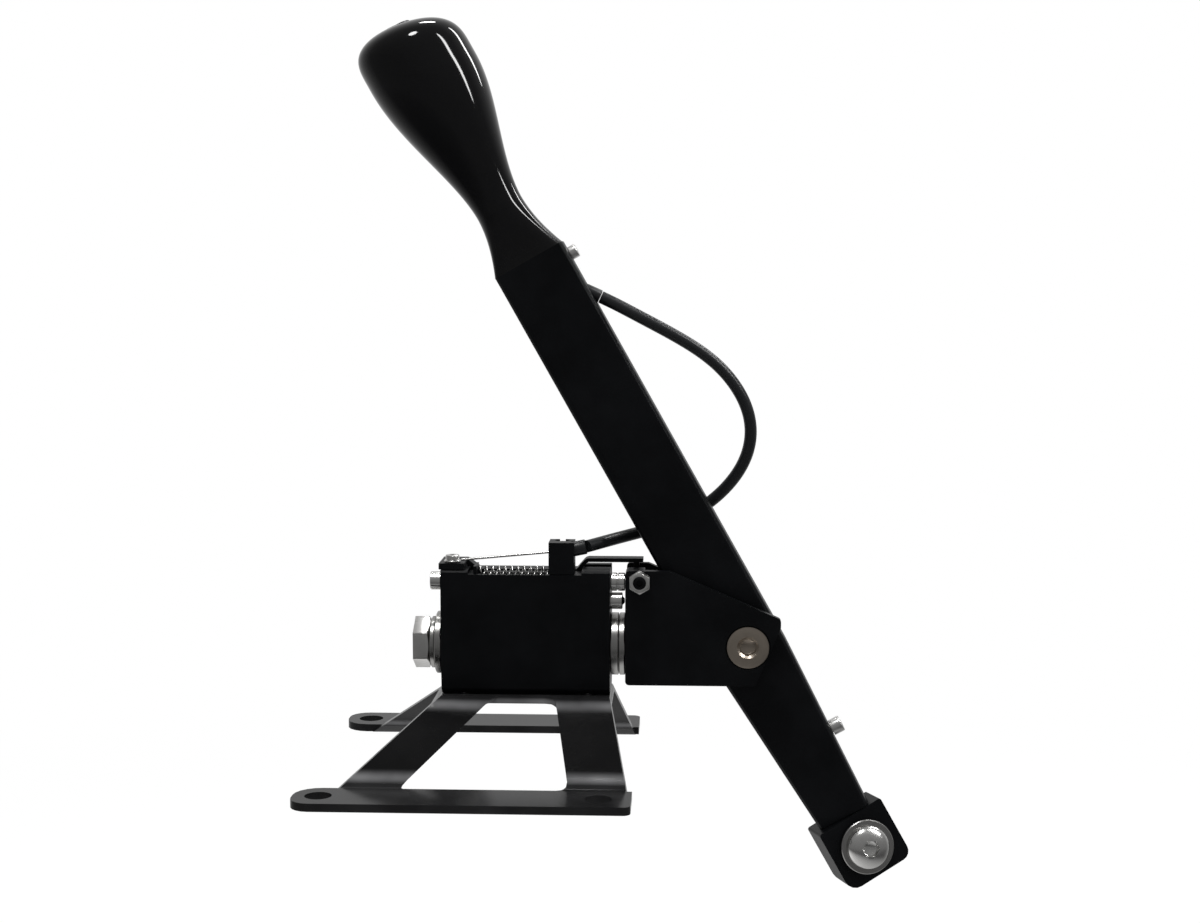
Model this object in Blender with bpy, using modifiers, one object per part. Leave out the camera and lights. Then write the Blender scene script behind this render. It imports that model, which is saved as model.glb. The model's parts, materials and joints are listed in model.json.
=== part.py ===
"""Short shifter: a bent base, a bearing block, a rolling yoke and a long swinging lever.

Metres, +Z up, +X towards the car's front. The origin lies in the plane of the foot undersides,
in the middle of the four foot holes. The shaft lies along X, the lever's pivot bolt along Y.
"""

import math

import bmesh
import bpy
from mathutils import Matrix, Vector

# Fits
GAP = 0.0003
RUN = 0.0003
THRUST = 0.0003

# Cutters run past what they cut, and joined shapes reach into each other, by these
OVER = 0.010
ROOT = 0.001

# Arm's length of the crosses that mark the axes
MARK = 0.020

# Base bracket, one bent plate
PLATE_T = 0.0032
BASE_TOP = 0.0312
FOOT_IN = 0.0515
FOOT_W = 0.0220
HOLE_X = 0.0535
HOLE_R = 0.00525
FOOT_PAST_REAR_HOLE = 0.0100
FOOT_PAST_FRONT_HOLE = 0.0125
BEND_R = 0.0030
PAD_R_REAR = 0.0080
PAD_R_FRONT = 0.0030
PAD_R_INNER = 0.0100
REAR_LEG_FOOT_IN = 0.0125
REAR_LEG_FOOT_W = 0.0230
REAR_LEG_TOP_W = 0.0215
FRONT_LEG_FOOT_IN = 0.0014
FRONT_LEG_FOOT_W = 0.0224
FRONT_LEG_TOP_W = 0.0220
WINDOW_R = 0.0040

# Bearing block
BLOCK_REAR = -0.0125
BLOCK_L = 0.0683
BLOCK_HALF = 0.0120
BLOCK_H = 0.0507
BLOCK_BREAK_UP = 0.0125
BLOCK_TAPER = 0.0012
BLOCK_FOOT_CHAMFER = 0.0022
BLOCK_TOP_CHAMFER = 0.0008
RECESS_REAR = 0.0110
RECESS_FRONT = 0.0113
RECESS_D = 0.0016
SHAFT_UP = 0.0192
BUSH_R = 0.0080
BUSH_L = 0.0180

# Shaft, washers and yoke
SHAFT_R = 0.0060
HEAD_AF = 0.0185
HEAD_T = 0.0066
FLAT_WASHER_R = 0.0127
FLAT_WASHER_T = 0.0025
LOCK_WASHER_R = 0.0105
LOCK_WASHER_T = 0.0018
THRUST_R = 0.0127
THRUST_T1 = 0.0030
THRUST_T2 = 0.0023
WEB_T = 0.0078
YOKE_HALF = 0.0123
CHEEK_T = 0.0034
SHAFT_PROUD = 0.0012
BOLT_PROUD = 0.0010
CAP_EDGE = 0.0004
SINK_ROOM = 0.0005
YOKE_BELOW_SHAFT = 0.0147
YOKE_TOP_L = 0.0177
YOKE_NOSE_X = 0.0131
YOKE_NOSE_TOP = 0.0116
YOKE_NOSE_LOW = 0.0082
YOKE_TAIL_X = 0.0029
YOKE_CORNER_R = 0.0015
FAR_CHEEK_R = 0.0130
FAR_CHEEK_TOP_L = 0.0090
JAM_AF = 0.0170
JAM_T = 0.0060

# Lever and its pivot
PIVOT_AHEAD = 0.0415
PIVOT_ABOVE_SHAFT = 0.0010
LEVER_TILT = math.radians(29.4)
LEVER_T = 0.0150
LEVER_REAR = 0.0162
LEVER_FRONT = 0.0144
LEVER_TOP = 0.1780
LEVER_END = -0.0810
LEVER_END_REAR = 0.0113
LEVER_END_FRONT = 0.0110
LEVER_TAPER_FROM = -0.0060
LEVER_EDGE_R = 0.0025
POCKET_WALL = 0.0028
POCKET_UNDER_ROCKER = 0.0216
PIVOT_R = 0.0050
PIVOT_HEAD_R = 0.0086
PIVOT_BUSH_R = 0.0070
PIVOT_FLANGE_R = 0.0084
PIVOT_FLANGE_T = 0.0008
PIVOT_WASHER_R = 0.0092
PIVOT_WASHER_T = 0.0016
PIVOT_NUT_AF = 0.0160
PIVOT_NUT_T = 0.0070
PIVOT_RIM = 0.0003
SOCKET_AF = 0.0060
SOCKET_D = 0.0030

# Knob and button
KNOB_AXIS = -0.0012
NECK_R = 0.0099
NECK_H = 0.0240
KNOB_R = 0.0220
KNOB_H = 0.1060
KNOB_WIDEST_DOWN = 0.0210
KNOB_RIM = 0.0170
KNOB_LAND_R = 0.0066
KNOB_FLARE = 1.8
KNOB_SIDE_FLARE = 1.3
KNOB_SQUARENESS = 4.0
KNOB_SWELL = 0.92
CROWN_ROUNDNESS = 3.2
CROWN_FALL = 2.4
CROWN_LEAN = 0.14
SPIGOT_L = 0.0130
BUTTON_R = 0.0055
BUTTON_PROUD = 0.0016
BUTTON_EDGE = 0.0010
BUTTON_SKIRT = 0.0070
BUTTON_TRAVEL = 0.0025
BUTTON_SPRING_L = 0.0080
BUTTON_SPRING_R = 0.0036
BUTTON_SPRING_WIRE_R = 0.0004
BUTTON_SPRING_TURNS = 5
PUSH_ROD_R = 0.0020
KNOB_SCREW_R = 0.0015
KNOB_SCREW_HEAD_R = 0.00275
KNOB_SCREW_HEAD_T = 0.0030
KNOB_SCREW_IN = 0.0040
KNOB_SCREW_DOWN = 0.0060

# Reverse release inside the lever
ROCKER_DOWN = 0.0214
ROCKER_X = 0.0040
ROCKER_T = 0.0040
ROCKER_ARM = 0.0052
ROCKER_RISE = math.radians(13.0)
ROCKER_PAD_R = 0.0018
ROCKER_ARM_W = 0.0024
ROCKER_WIRE_ARM = 0.0068
ROCKER_WIRE_RISE = math.radians(35.0)
ROCKER_BOSS_R = 0.0030
ROCKER_PIN_R = 0.0014
CABLE_R = 0.0025
CABLE_EXIT_DOWN = 0.0236
CABLE_RISE = math.radians(12.0)
CABLE_DROP = math.radians(24.0)
CABLE_STANDOFF = 0.0040
CABLE_STRAIGHT = 0.0055
CABLE_STEP = 0.0065
WIRE_R = 0.0006
LEVER_FERRULE_R = 0.0027
LEVER_FERRULE_IN = 0.0032

# Clevis at the lever's foot, turned a little about the lever's own line
CLEVIS_TURN = math.radians(14.0)
CLEVIS_W = 0.0295
CLEVIS_D = 0.0180
CLEVIS_H = 0.0270
CLEVIS_TOP_WALL = 0.0045
CLEVIS_REAR_WALL = 0.0040
CLEVIS_SLOT = 0.0100
CLEVIS_CORNER_R = 0.0040
CLEVIS_HEEL_R = 0.0050
CLEVIS_EDGE_R = 0.0010
CLEVIS_BOLT_DOWN = 0.0140
CLEVIS_BOLT_R = 0.0050
CLEVIS_HEAD_R = 0.0088
CLEVIS_HEAD_T = 0.0050
CLEVIS_DOME = math.radians(64.0)
CLEVIS_WASHER_R = 0.0110
CLEVIS_WASHER_T = 0.0018
CLEVIS_NUT_AF = 0.0160
CLEVIS_NUT_T = 0.0080
SPIGOT_R = 0.0060
CLEVIS_SPIGOT_L = 0.0400
CLEVIS_SCREW_DOWN = 0.0070
CLEVIS_SCREW_R = 0.0020
CLEVIS_DIMPLE_D = 0.0021
CLEVIS_SCREW_HEAD_R = 0.0033
CLEVIS_SCREW_HEAD_T = 0.0045

# Gate parts between block and yoke
ROD_Y = -0.0050
ROD_DOWN = 0.0052
ROD_R = 0.0025
ROD_HEAD_R = 0.0037
ROD_HEAD_T = 0.0044
ROD_TIP_L = 0.0020
PLUG_L = 0.0100
STOP_PIN_IN = 0.0160
PLUNGER_BELOW_ROD = 0.0077
PLUNGER_R = 0.0034
PLUNGER_IN = 0.0080
PLUNGER_NOSE_R = 0.0018
PLUNGER_NOSE_L = 0.0010
PLUNGER_TIP = 0.6
ROLL_LIMIT = math.radians(6.0)
EAR_SCREW_R = 0.0025
EAR_SCREW_AHEAD = 0.0058
EAR_SCREW_DROP = 0.0042
EAR_SCREW_IN = 0.0087
EAR_NUT_AF = 0.0080
EAR_NUT_T = 0.0040
EAR_SCREW_PROUD = 0.0006

# Latch on the block's top
CLAMP_BACK = 0.0246
CLAMP_L = 0.0102
CLAMP_D = 0.0110
CLAMP_H = 0.0128
CLAMP_SCREW_R = 0.0015
CLAMP_SCREW_HEAD_R = 0.00275
CLAMP_SCREW_HEAD_T = 0.0022
CLAMP_SCREW_SINK = 0.0006
CLAMP_SCREW_EDGE = 0.0013
CLAMP_SCREW_IN = 0.0065
WIRE_HOLE_R = 0.0018
WIRE_DROP = 0.0006
WIRE_IN_CLAMP = 0.0020
CABLE_END_DOWN = 0.0035
CABLE_IN = 0.0045
FERRULE_R = 0.0030
FERRULE_L = 0.0070
FERRULE_SEAT = 0.0022
STRAP_Y = 0.0036
STRAP_W = 0.0065
STRAP_T = 0.0016
STRAP_SUNK = 0.0027
STRAP_LIFT = 0.0016
STRAP_JOG_GAP = 0.0006
STRAP_JOG_L = 0.0040
STRAP_BEND_R = 0.0012
STRAP_PAST_WEB = 0.0069
TOOTH_IN = 0.0030
TOOTH_L = 0.0022
TOOTH_W = 0.0040
TOOTH_DROP = 0.0036
NOTCH_HALF = 0.0060
NOTCH_ROOM = 0.0008
ANCHOR_OVERHANG = 0.0007
ANCHOR_BEFORE_RECESS = 0.0015
ANCHOR_H = 0.0025
ANCHOR_EDGE = 0.0040
ANCHOR_STEP_L = 0.0050
ANCHOR_SCREW_IN = 0.0045
ANCHOR_SCREW_R = 0.0015
ANCHOR_HEAD_R = 0.0028
ANCHOR_HEAD_T = 0.0018
ANCHOR_WASHER_R = 0.0034
ANCHOR_WASHER_T = 0.0006
SPRING_R = 0.0020
SPRING_WIRE_R = 0.0003
SPRING_TURNS = 11
SPRING_UP = 0.0021
SPRING_SEAT_IN = 0.0021
SPRING_SEAT_T = 0.0012

# Screws that hold the block to the base
BASE_SCREW_R = 0.0025
BASE_SCREW_HEAD_R = 0.0043
BASE_SCREW_HEAD_T = 0.0045
BASE_SCREW_IN = 0.0100
BASE_SCREW_Y = 0.0060
BASE_SCREW_INSET = 0.0090

# Places that follow from the sizes
FOOT_OUT = FOOT_IN + FOOT_W
FOOT_REAR = -HOLE_X - FOOT_PAST_REAR_HOLE
FOOT_FRONT = HOLE_X + FOOT_PAST_FRONT_HOLE
HOLE_Y = FOOT_IN + FOOT_W / 2
BLOCK_FRONT = BLOCK_REAR + BLOCK_L
BLOCK_FOOT = BASE_TOP + GAP
BLOCK_TOP = BLOCK_FOOT + BLOCK_H
BLOCK_BREAK_Z = BLOCK_FOOT + BLOCK_BREAK_UP
SHAFT_Z = BLOCK_FOOT + SHAFT_UP
RECESS_X = BLOCK_REAR + RECESS_REAR
RECESS_END = BLOCK_FRONT - RECESS_FRONT
RECESS_FLOOR = BLOCK_TOP - RECESS_D
THRUST1_X = BLOCK_FRONT + THRUST
THRUST2_X = THRUST1_X + THRUST_T1 + THRUST
WEB_X = THRUST2_X + THRUST_T2 + THRUST
FORK_X = WEB_X + WEB_T
YOKE_BOTTOM = SHAFT_Z - YOKE_BELOW_SHAFT
YOKE_TOP = BLOCK_TOP + GAP
PIVOT_X = FORK_X + PIVOT_AHEAD
PIVOT_Z = SHAFT_Z + PIVOT_ABOVE_SHAFT
ROD_Z = BLOCK_TOP - ROD_DOWN
PLUNGER_Z = ROD_Z - PLUNGER_BELOW_ROD
EAR_SCREW_X = WEB_X + EAR_SCREW_AHEAD
EAR_SCREW_Z = YOKE_TOP - EAR_SCREW_DROP
EAR_SCREW_END = EAR_SCREW_IN - YOKE_HALF
CLAMP_X = BLOCK_FRONT - CLAMP_BACK
CLAMP_FRONT = CLAMP_X + CLAMP_L
CLAMP_TOP = RECESS_FLOOR + GAP + CLAMP_H
CLAMP_SCREW_X = CLAMP_X + CLAMP_L / 2
CLAMP_SCREW_Y = -BLOCK_HALF + CLAMP_D - CLAMP_SCREW_R - CLAMP_SCREW_EDGE
CABLE_END_Z = CLAMP_TOP - CABLE_END_DOWN
CABLE_Y = CABLE_IN - BLOCK_HALF
STRAP_LOW = BLOCK_TOP - STRAP_SUNK
STRAP_HIGH = YOKE_TOP + STRAP_LIFT
STRAP_END = WEB_X + STRAP_PAST_WEB
TOOTH_X = WEB_X + TOOTH_IN
ANCHOR_REAR = BLOCK_REAR - ANCHOR_OVERHANG
ANCHOR_FRONT = RECESS_X - ANCHOR_BEFORE_RECESS
ANCHOR_TOP = BLOCK_TOP + GAP + ANCHOR_H
ANCHOR_SCREW_X = BLOCK_REAR + ANCHOR_SCREW_IN
SPRING_AXIS_Z = STRAP_LOW + SPRING_UP
SPRING_SEAT_X = RECESS_X + SPRING_SEAT_IN
FORK_HALF = YOKE_HALF - CHEEK_T
LEVER_HALF = LEVER_T / 2
ROCKER_S = LEVER_TOP - ROCKER_DOWN
POCKET_FLOOR = ROCKER_S - POCKET_UNDER_ROCKER
CABLE_EXIT_S = LEVER_TOP - CABLE_EXIT_DOWN
CLEVIS_TOP = LEVER_END - GAP
CLEVIS_BOLT_S = CLEVIS_TOP - CLEVIS_BOLT_DOWN
CLEVIS_SCREW_S = LEVER_END + CLEVIS_SPIGOT_L - CLEVIS_SCREW_DOWN
KNOB_ROOT = (LEVER_REAR + LEVER_FRONT) / 2
KNOB_WIDEST_H = KNOB_H - KNOB_WIDEST_DOWN
CROWN = LEVER_TOP + KNOB_H
SKIRT = CROWN - BUTTON_SKIRT + BUTTON_TRAVEL
BUTTON_FLOOR = CROWN - BUTTON_SKIRT - BUTTON_SPRING_L
CABLE_DIR = Vector((math.cos(CABLE_DROP), 0, -math.sin(CABLE_DROP)))

# The route of the cable's outer from the clamp, behind the lever, to the lever's front face
CABLE_ROUTE = [
    (0.0529, 0.0020, 0.0923),
    (0.0600, 0.0085, 0.0934),
    (0.0672, 0.0124, 0.0948),
    (0.0780, 0.0131, 0.0977),
    (0.0880, 0.0131, 0.1020),
    (0.0963, 0.0124, 0.1076),
    (0.1030, 0.0108, 0.1140),
    (0.1082, 0.0090, 0.1211),
    (0.1115, 0.0072, 0.1286),
    (0.1127, 0.0055, 0.1366),
    (0.1116, 0.0040, 0.1448),
    (0.1079, 0.0028, 0.1532),
    (0.1017, 0.0019, 0.1616),
    (0.0943, 0.0012, 0.1682),
    (0.0854, 0.0006, 0.1740),
    (0.0751, 0.0002, 0.1797),
    (0.0655, 0.0, 0.1847),
]

BLACK = ("black_satin", (0.010, 0.011, 0.012), 0.42, 0.0)
PAINT = ("base_powder_coat", (0.014, 0.014, 0.015), 0.38, 0.0)
GLOSS = ("knob_gloss_black", (0.006, 0.006, 0.007), 0.10, 0.0)
STEEL = ("stainless_steel", (0.55, 0.54, 0.52), 0.25, 1.0)
WARM = ("brushed_stainless", (0.34, 0.31, 0.28), 0.35, 1.0)
BRONZE = ("bush_bronze", (0.42, 0.27, 0.11), 0.40, 1.0)
CABLE = ("cable_black", (0.012, 0.013, 0.015), 0.35, 0.0)


def clear_scene():
    for item in list(bpy.data.objects):
        bpy.data.objects.remove(item, do_unlink=True)


def new_collection(name):
    group = bpy.data.collections.new(name)
    bpy.context.scene.collection.children.link(group)
    return group


def material(finish):
    name, colour, roughness, metallic = finish
    found = bpy.data.materials.get(name)
    if found:
        return found
    made = bpy.data.materials.new(name)
    made.use_nodes = True
    shader = made.node_tree.nodes["Principled BSDF"]
    shader.inputs["Base Color"].default_value = (*colour, 1)
    shader.inputs["Roughness"].default_value = roughness
    shader.inputs["Metallic"].default_value = metallic
    return made


clear_scene()
PARTS = new_collection("short_shifter")
CUTTERS = new_collection("cutters")


def frame(name, place, turn=(0, 0, 0), parent=None):
    """An empty on a joint's axis, whose pieces move with it."""
    empty = bpy.data.objects.new(name, None)
    empty.empty_display_size = MARK
    empty.location = place
    empty.rotation_euler = turn
    empty.parent = parent
    PARTS.objects.link(empty)
    bpy.context.view_layer.update()
    return empty


def show(name, mesh, finish=None, parent=None):
    """A visible piece, or a cutter when it has no finish. Its mesh is in its parent's own frame."""
    piece = bpy.data.objects.new(name, mesh)
    piece.parent = parent
    if finish:
        mesh.materials.append(material(finish))
        PARTS.objects.link(piece)
    else:
        CUTTERS.objects.link(piece)
        piece.hide_render = True
        piece.display_type = "WIRE"
    mesh.shade_smooth()
    mesh.set_sharp_from_angle(angle=math.radians(32))
    return piece


def mesh_of(name, builder):
    made = bmesh.new()
    builder(made)
    bmesh.ops.recalc_face_normals(made, faces=made.faces)
    mesh = bpy.data.meshes.new(name)
    made.to_mesh(mesh)
    made.free()
    return mesh


def box(name, low, high, finish=None, parent=None):
    size = [b - a for a, b in zip(low, high)]
    middle = [(a + b) / 2 for a, b in zip(low, high)]
    place = Matrix.Translation(middle) @ Matrix.Diagonal((*size, 1))
    mesh = mesh_of(name, lambda made: bmesh.ops.create_cube(made, size=1, matrix=place))
    return show(name, mesh, finish, parent)


def along(start, end):
    """The matrix that lays local Z from start to end."""
    start = Vector(start)
    line = Vector(end) - start
    return Matrix.Translation(start + line / 2) @ line.to_track_quat("Z", "Y").to_matrix().to_4x4()


def rod(name, start, end, radius, finish=None, parent=None, tip=None, sides=28, turn=0.0):
    """A cylinder, cone or prism from start to end."""
    length = (Vector(end) - Vector(start)).length
    place = along(start, end) @ Matrix.Rotation(turn, 4, "Z")

    def build(made):
        bmesh.ops.create_cone(
            made, cap_ends=True, segments=sides, radius1=radius,
            radius2=radius if tip is None else tip, depth=length, matrix=place,
        )

    return show(name, mesh_of(name, build), finish, parent)


def hexagon(name, start, end, flats, finish=None, parent=None, turn=0.0):
    return rod(name, start, end, flats / math.sqrt(3), finish, parent, sides=6, turn=turn)


def boolean(piece, cutter, operation="DIFFERENCE"):
    step = piece.modifiers.new(f"{operation.lower()}_{cutter.name}", "BOOLEAN")
    step.object = cutter
    step.operation = operation
    step.solver = "EXACT"
    return piece


def cut(piece, *cutters):
    for cutter in cutters:
        boolean(piece, cutter)
    return piece


def join(piece, *others):
    for other in others:
        boolean(piece, other, "UNION")
    return piece


def ring(name, start, end, outer, inner, finish, parent=None, sides=28):
    """A washer or a bush."""
    start = Vector(start)
    end = Vector(end)
    over = (end - start).normalized() * ROOT
    body = rod(name, start, end, outer, finish, parent, sides=sides)
    return cut(body, rod(f"{name}_bore", start - over, end + over, inner, None, parent, sides=sides))


def turned(name, profile, place, finish=None, parent=None, steps=28, closed=False):
    """A turned piece: the profile of radius and height runs down its outer side."""
    mesh = bpy.data.meshes.new(name)
    points = [(radius, 0, height) for radius, height in profile]
    edges = [(i, i + 1) for i in range(len(points) - 1)]
    if closed:
        edges.append((len(points) - 1, 0))
    mesh.from_pydata(points, edges, [])
    piece = show(name, mesh, finish, parent)
    piece.matrix_local = place
    spin = piece.modifiers.new("turned", "SCREW")
    spin.axis = "Z"
    spin.steps = steps
    spin.render_steps = steps
    spin.use_merge_vertices = True
    spin.merge_threshold = 0.00001
    return piece


def corner_arc(before, here, after, radius, steps):
    """The points of an arc that rounds the corner here, between the points before and after it."""
    here = Vector(here)
    back = (Vector(before) - here).normalized()
    on = (Vector(after) - here).normalized()
    half = back.angle(on) / 2
    reach = radius / math.tan(half)
    centre = here + (back + on).normalized() * (radius / math.sin(half))
    first = here + back * reach - centre
    last = here + on * reach - centre
    sweep = math.atan2(first.cross(last), first.dot(last))
    return [centre + Matrix.Rotation(sweep * k / steps, 2) @ first for k in range(steps + 1)]


def rounded(corners, steps=5):
    """An outline from corners (x, y, radius), each radius made an arc."""
    outline = []
    for i, (x, y, radius) in enumerate(corners):
        before = corners[i - 1][:2]
        after = corners[(i + 1) % len(corners)][:2]
        outline += corner_arc(before, (x, y), after, radius, steps) if radius > 0 else [Vector((x, y))]
    return outline


PLANES = {
    "XY": Matrix.Identity(4),
    "XZ": Matrix.Rotation(math.radians(90), 4, "X"),
    "YZ": Matrix.Rotation(math.radians(90), 4, "Z") @ Matrix.Rotation(math.radians(90), 4, "X"),
}


def plate(name, outline, low, high, plane, finish=None, parent=None):
    """A flat outline given thickness along the third axis, from low to high."""
    curve = bpy.data.curves.new(name, "CURVE")
    curve.dimensions = "2D"
    curve.fill_mode = "BOTH"
    curve.extrude = (high - low) / 2
    line = curve.splines.new("POLY")
    line.points.add(len(outline) - 1)
    for point, (x, y) in zip(line.points, outline):
        point.co = (x, y, 0, 1)
    line.use_cyclic_u = True
    flat = bpy.data.objects.new(f"{name}_outline", curve)
    CUTTERS.objects.link(flat)
    view = bpy.context.evaluated_depsgraph_get()
    mesh = bpy.data.meshes.new_from_object(flat.evaluated_get(view))
    bpy.data.objects.remove(flat, do_unlink=True)
    mesh.name = name
    middle = (low + high) / 2
    shift = {"XY": (0, 0, middle), "XZ": (0, middle, 0), "YZ": (middle, 0, 0)}[plane]
    made = bmesh.new()
    made.from_mesh(mesh)
    bmesh.ops.remove_doubles(made, verts=made.verts, dist=0.000001)
    bmesh.ops.transform(made, matrix=Matrix.Translation(shift) @ PLANES[plane], verts=made.verts)
    bmesh.ops.recalc_face_normals(made, faces=made.faces)
    made.to_mesh(mesh)
    made.free()
    mesh.materials.clear()
    return show(name, mesh, finish, parent)


def loft(name, sections, finish=None, parent=None):
    """A closed body through rings of equal count, with flat ends."""

    def build(made):
        rings = [[made.verts.new(point) for point in section] for section in sections]
        count = len(rings[0])
        for low, high in zip(rings, rings[1:]):
            for i in range(count):
                j = (i + 1) % count
                made.faces.new((low[i], low[j], high[j], high[i]))
        made.faces.new(rings[0][::-1])
        made.faces.new(rings[-1])

    return show(name, mesh_of(name, build), finish, parent)


def smooth_route(points, spacing):
    """Evenly spread points on a smooth curve through the given points."""
    points = [Vector(point) for point in points]
    ends = [points[0] * 2 - points[1], *points, points[-1] * 2 - points[-2]]
    fine = []
    for a, b, c, d in zip(ends, ends[1:], ends[2:], ends[3:]):
        for k in range(20):
            t = k / 20
            cube = (-a + b * 3 - c * 3 + d) * t**3
            square = (a * 2 - b * 5 + c * 4 - d) * t**2
            fine.append((cube + square + (c - a) * t + b * 2) / 2)
    fine.append(points[-1])
    lengths = [0.0]
    for a, b in zip(fine, fine[1:]):
        lengths.append(lengths[-1] + (b - a).length)
    count = max(2, round(lengths[-1] / spacing))
    route = []
    i = 0
    for k in range(count + 1):
        goal = lengths[-1] * k / count
        while i < len(fine) - 2 and lengths[i + 1] < goal:
            i += 1
        share = (goal - lengths[i]) / max(lengths[i + 1] - lengths[i], 1e-9)
        route.append(fine[i].lerp(fine[i + 1], share))
    return route


def tube(name, points, radius, finish, parent=None, fineness=2):
    """A cable, wire or spring: a round line through the points with filled caps."""
    curve = bpy.data.curves.new(name, "CURVE")
    curve.dimensions = "3D"
    curve.bevel_depth = radius
    curve.bevel_resolution = fineness
    curve.use_fill_caps = True
    line = curve.splines.new("POLY")
    line.points.add(len(points) - 1)
    for point, place in zip(line.points, points):
        point.co = (*place, 1)
    piece = bpy.data.objects.new(name, curve)
    curve.materials.append(material(finish))
    PARTS.objects.link(piece)
    piece.parent = parent
    return piece


def helix(start, length, radius, turns, across, up, ahead):
    """The line of a compression spring from start along ahead."""
    steps = 8
    points = []
    for k in range(steps * turns + 1):
        angle = math.tau * k / steps
        side = Vector(across) * math.cos(angle) + Vector(up) * math.sin(angle)
        points.append(Vector(start) + Vector(ahead) * (length * k / (steps * turns)) + side * radius)
    return points


def sheet_profile(path, radius, thickness, steps=5):
    """The outline of a bent sheet along its middle line, with the same radius at each bend."""
    middle = [Vector(path[0])]
    normals = []
    for before, here, after in zip(path, path[1:], path[2:]):
        middle += corner_arc(before, here, after, radius, steps)
    middle.append(Vector(path[-1]))
    for i in range(len(middle)):
        ahead = (middle[min(i + 1, len(middle) - 1)] - middle[max(i - 1, 0)]).normalized()
        normals.append(Vector((-ahead.y, ahead.x)))
    left = [point + side * thickness / 2 for point, side in zip(middle, normals)]
    right = [point - side * thickness / 2 for point, side in zip(middle, normals)]
    return left + right[::-1]


def line_x(foot_x, top_x, height):
    """X on a leg's edge, which runs from the foot plane to the bracket's top."""
    return foot_x + (top_x - foot_x) * height / BASE_TOP


def base_bracket():
    """Top plate, four slanting legs and two rails, cut and bent from one plate."""
    half = PLATE_T / 2
    bend = BEND_R + half
    slope = math.atan2(BASE_TOP - PLATE_T, FOOT_IN - BLOCK_HALF)
    reach = bend * math.tan(slope / 2)
    rear_r = min(PAD_R_REAR, FOOT_W / 2 - ROOT)
    inner_r = min(PAD_R_INNER, FOOT_W / 2 - ROOT)
    path = [
        (-FOOT_OUT, half), (-(FOOT_IN - reach), half), (-(BLOCK_HALF + reach), BASE_TOP - half),
        (BLOCK_HALF + reach, BASE_TOP - half), (FOOT_IN - reach, half), (FOOT_OUT, half),
    ]
    piece = plate(
        "base_bracket", sheet_profile(path, bend, PLATE_T), FOOT_REAR, FOOT_FRONT, "YZ", PAINT,
    )
    step = FOOT_REAR + inner_r + GAP
    plan = [
        (FOOT_REAR, -FOOT_OUT, rear_r), (FOOT_FRONT, -FOOT_OUT, PAD_R_FRONT),
        (FOOT_FRONT, FOOT_OUT, PAD_R_FRONT), (FOOT_REAR, FOOT_OUT, rear_r),
        (FOOT_REAR, FOOT_IN, inner_r), (step, FOOT_IN, 0),
        (step, -FOOT_IN, 0), (FOOT_REAR, -FOOT_IN, inner_r),
    ]
    boolean(piece, plate("bracket_plan", rounded(plan), -OVER, BASE_TOP + OVER, "XY"), "INTERSECT")
    low = -OVER
    high = BASE_TOP + OVER
    rear_out = FOOT_REAR + REAR_LEG_FOOT_IN
    rear_in = rear_out + REAR_LEG_FOOT_W
    front_out = FOOT_FRONT - FRONT_LEG_FOOT_IN
    front_in = front_out - FRONT_LEG_FOOT_W
    rear_top = BLOCK_REAR + REAR_LEG_TOP_W
    front_top = BLOCK_FRONT - FRONT_LEG_TOP_W
    rear_edge = [
        (FOOT_REAR - OVER, low), (line_x(rear_out, BLOCK_REAR, low), low),
        (BLOCK_REAR, BASE_TOP), (BLOCK_REAR, high), (FOOT_REAR - OVER, high),
    ]
    front_edge = [
        (line_x(front_out, BLOCK_FRONT, low), low), (FOOT_FRONT + OVER, low),
        (FOOT_FRONT + OVER, high), (BLOCK_FRONT, high), (BLOCK_FRONT, BASE_TOP),
    ]
    brow = BASE_TOP + WINDOW_R + ROOT
    window = [
        (line_x(rear_in, rear_top, low), low), (line_x(front_in, front_top, low), low),
        (line_x(front_in, front_top, brow), brow), (line_x(rear_in, rear_top, brow), brow),
    ]
    cut(piece, plate("rear_outside", rear_edge, -FOOT_IN, FOOT_IN, "XZ"))
    cut(piece, plate("front_outside", front_edge, -FOOT_IN, FOOT_IN, "XZ"))
    for side in (-1, 1):
        ends = sorted((side * BLOCK_HALF, side * FOOT_IN))
        opening = plate(f"window_{side}", window, *ends, "XZ")
        soften = opening.modifiers.new("rounding", "BEVEL")
        soften.width = WINDOW_R
        soften.segments = 3
        cut(piece, opening)
    for x in (-HOLE_X, HOLE_X):
        for y in (-HOLE_Y, HOLE_Y):
            cut(piece, rod(f"foot_hole_{x}_{y}", (x, y, -OVER), (x, y, OVER), HOLE_R, sides=24))
    for number, (x, y) in enumerate(base_screw_places()):
        under = (x, y, BASE_TOP - OVER)
        cut(piece, rod(f"screw_hole_{number}", under, (x, y, high), BASE_SCREW_R + GAP, sides=16))
    return piece


def base_screw_places():
    xs = (BLOCK_REAR + BASE_SCREW_INSET, BLOCK_FRONT - BASE_SCREW_INSET)
    return [(x, y) for x in xs for y in (-BASE_SCREW_Y, BASE_SCREW_Y)]


def base_screws():
    """Cap screws up through the bracket's top plate into the block."""
    under = BASE_TOP - PLATE_T - GAP
    for number, (x, y) in enumerate(base_screw_places(), 1):
        top = BASE_TOP + BASE_SCREW_IN
        profile = [
            (0, top), (BASE_SCREW_R, top), (BASE_SCREW_R, under), (BASE_SCREW_HEAD_R, under),
            (BASE_SCREW_HEAD_R, under - BASE_SCREW_HEAD_T), (0, under - BASE_SCREW_HEAD_T),
        ]
        turned(f"base_screw_{number}", profile, Matrix.Translation((x, y, 0)), STEEL, steps=16)


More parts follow.
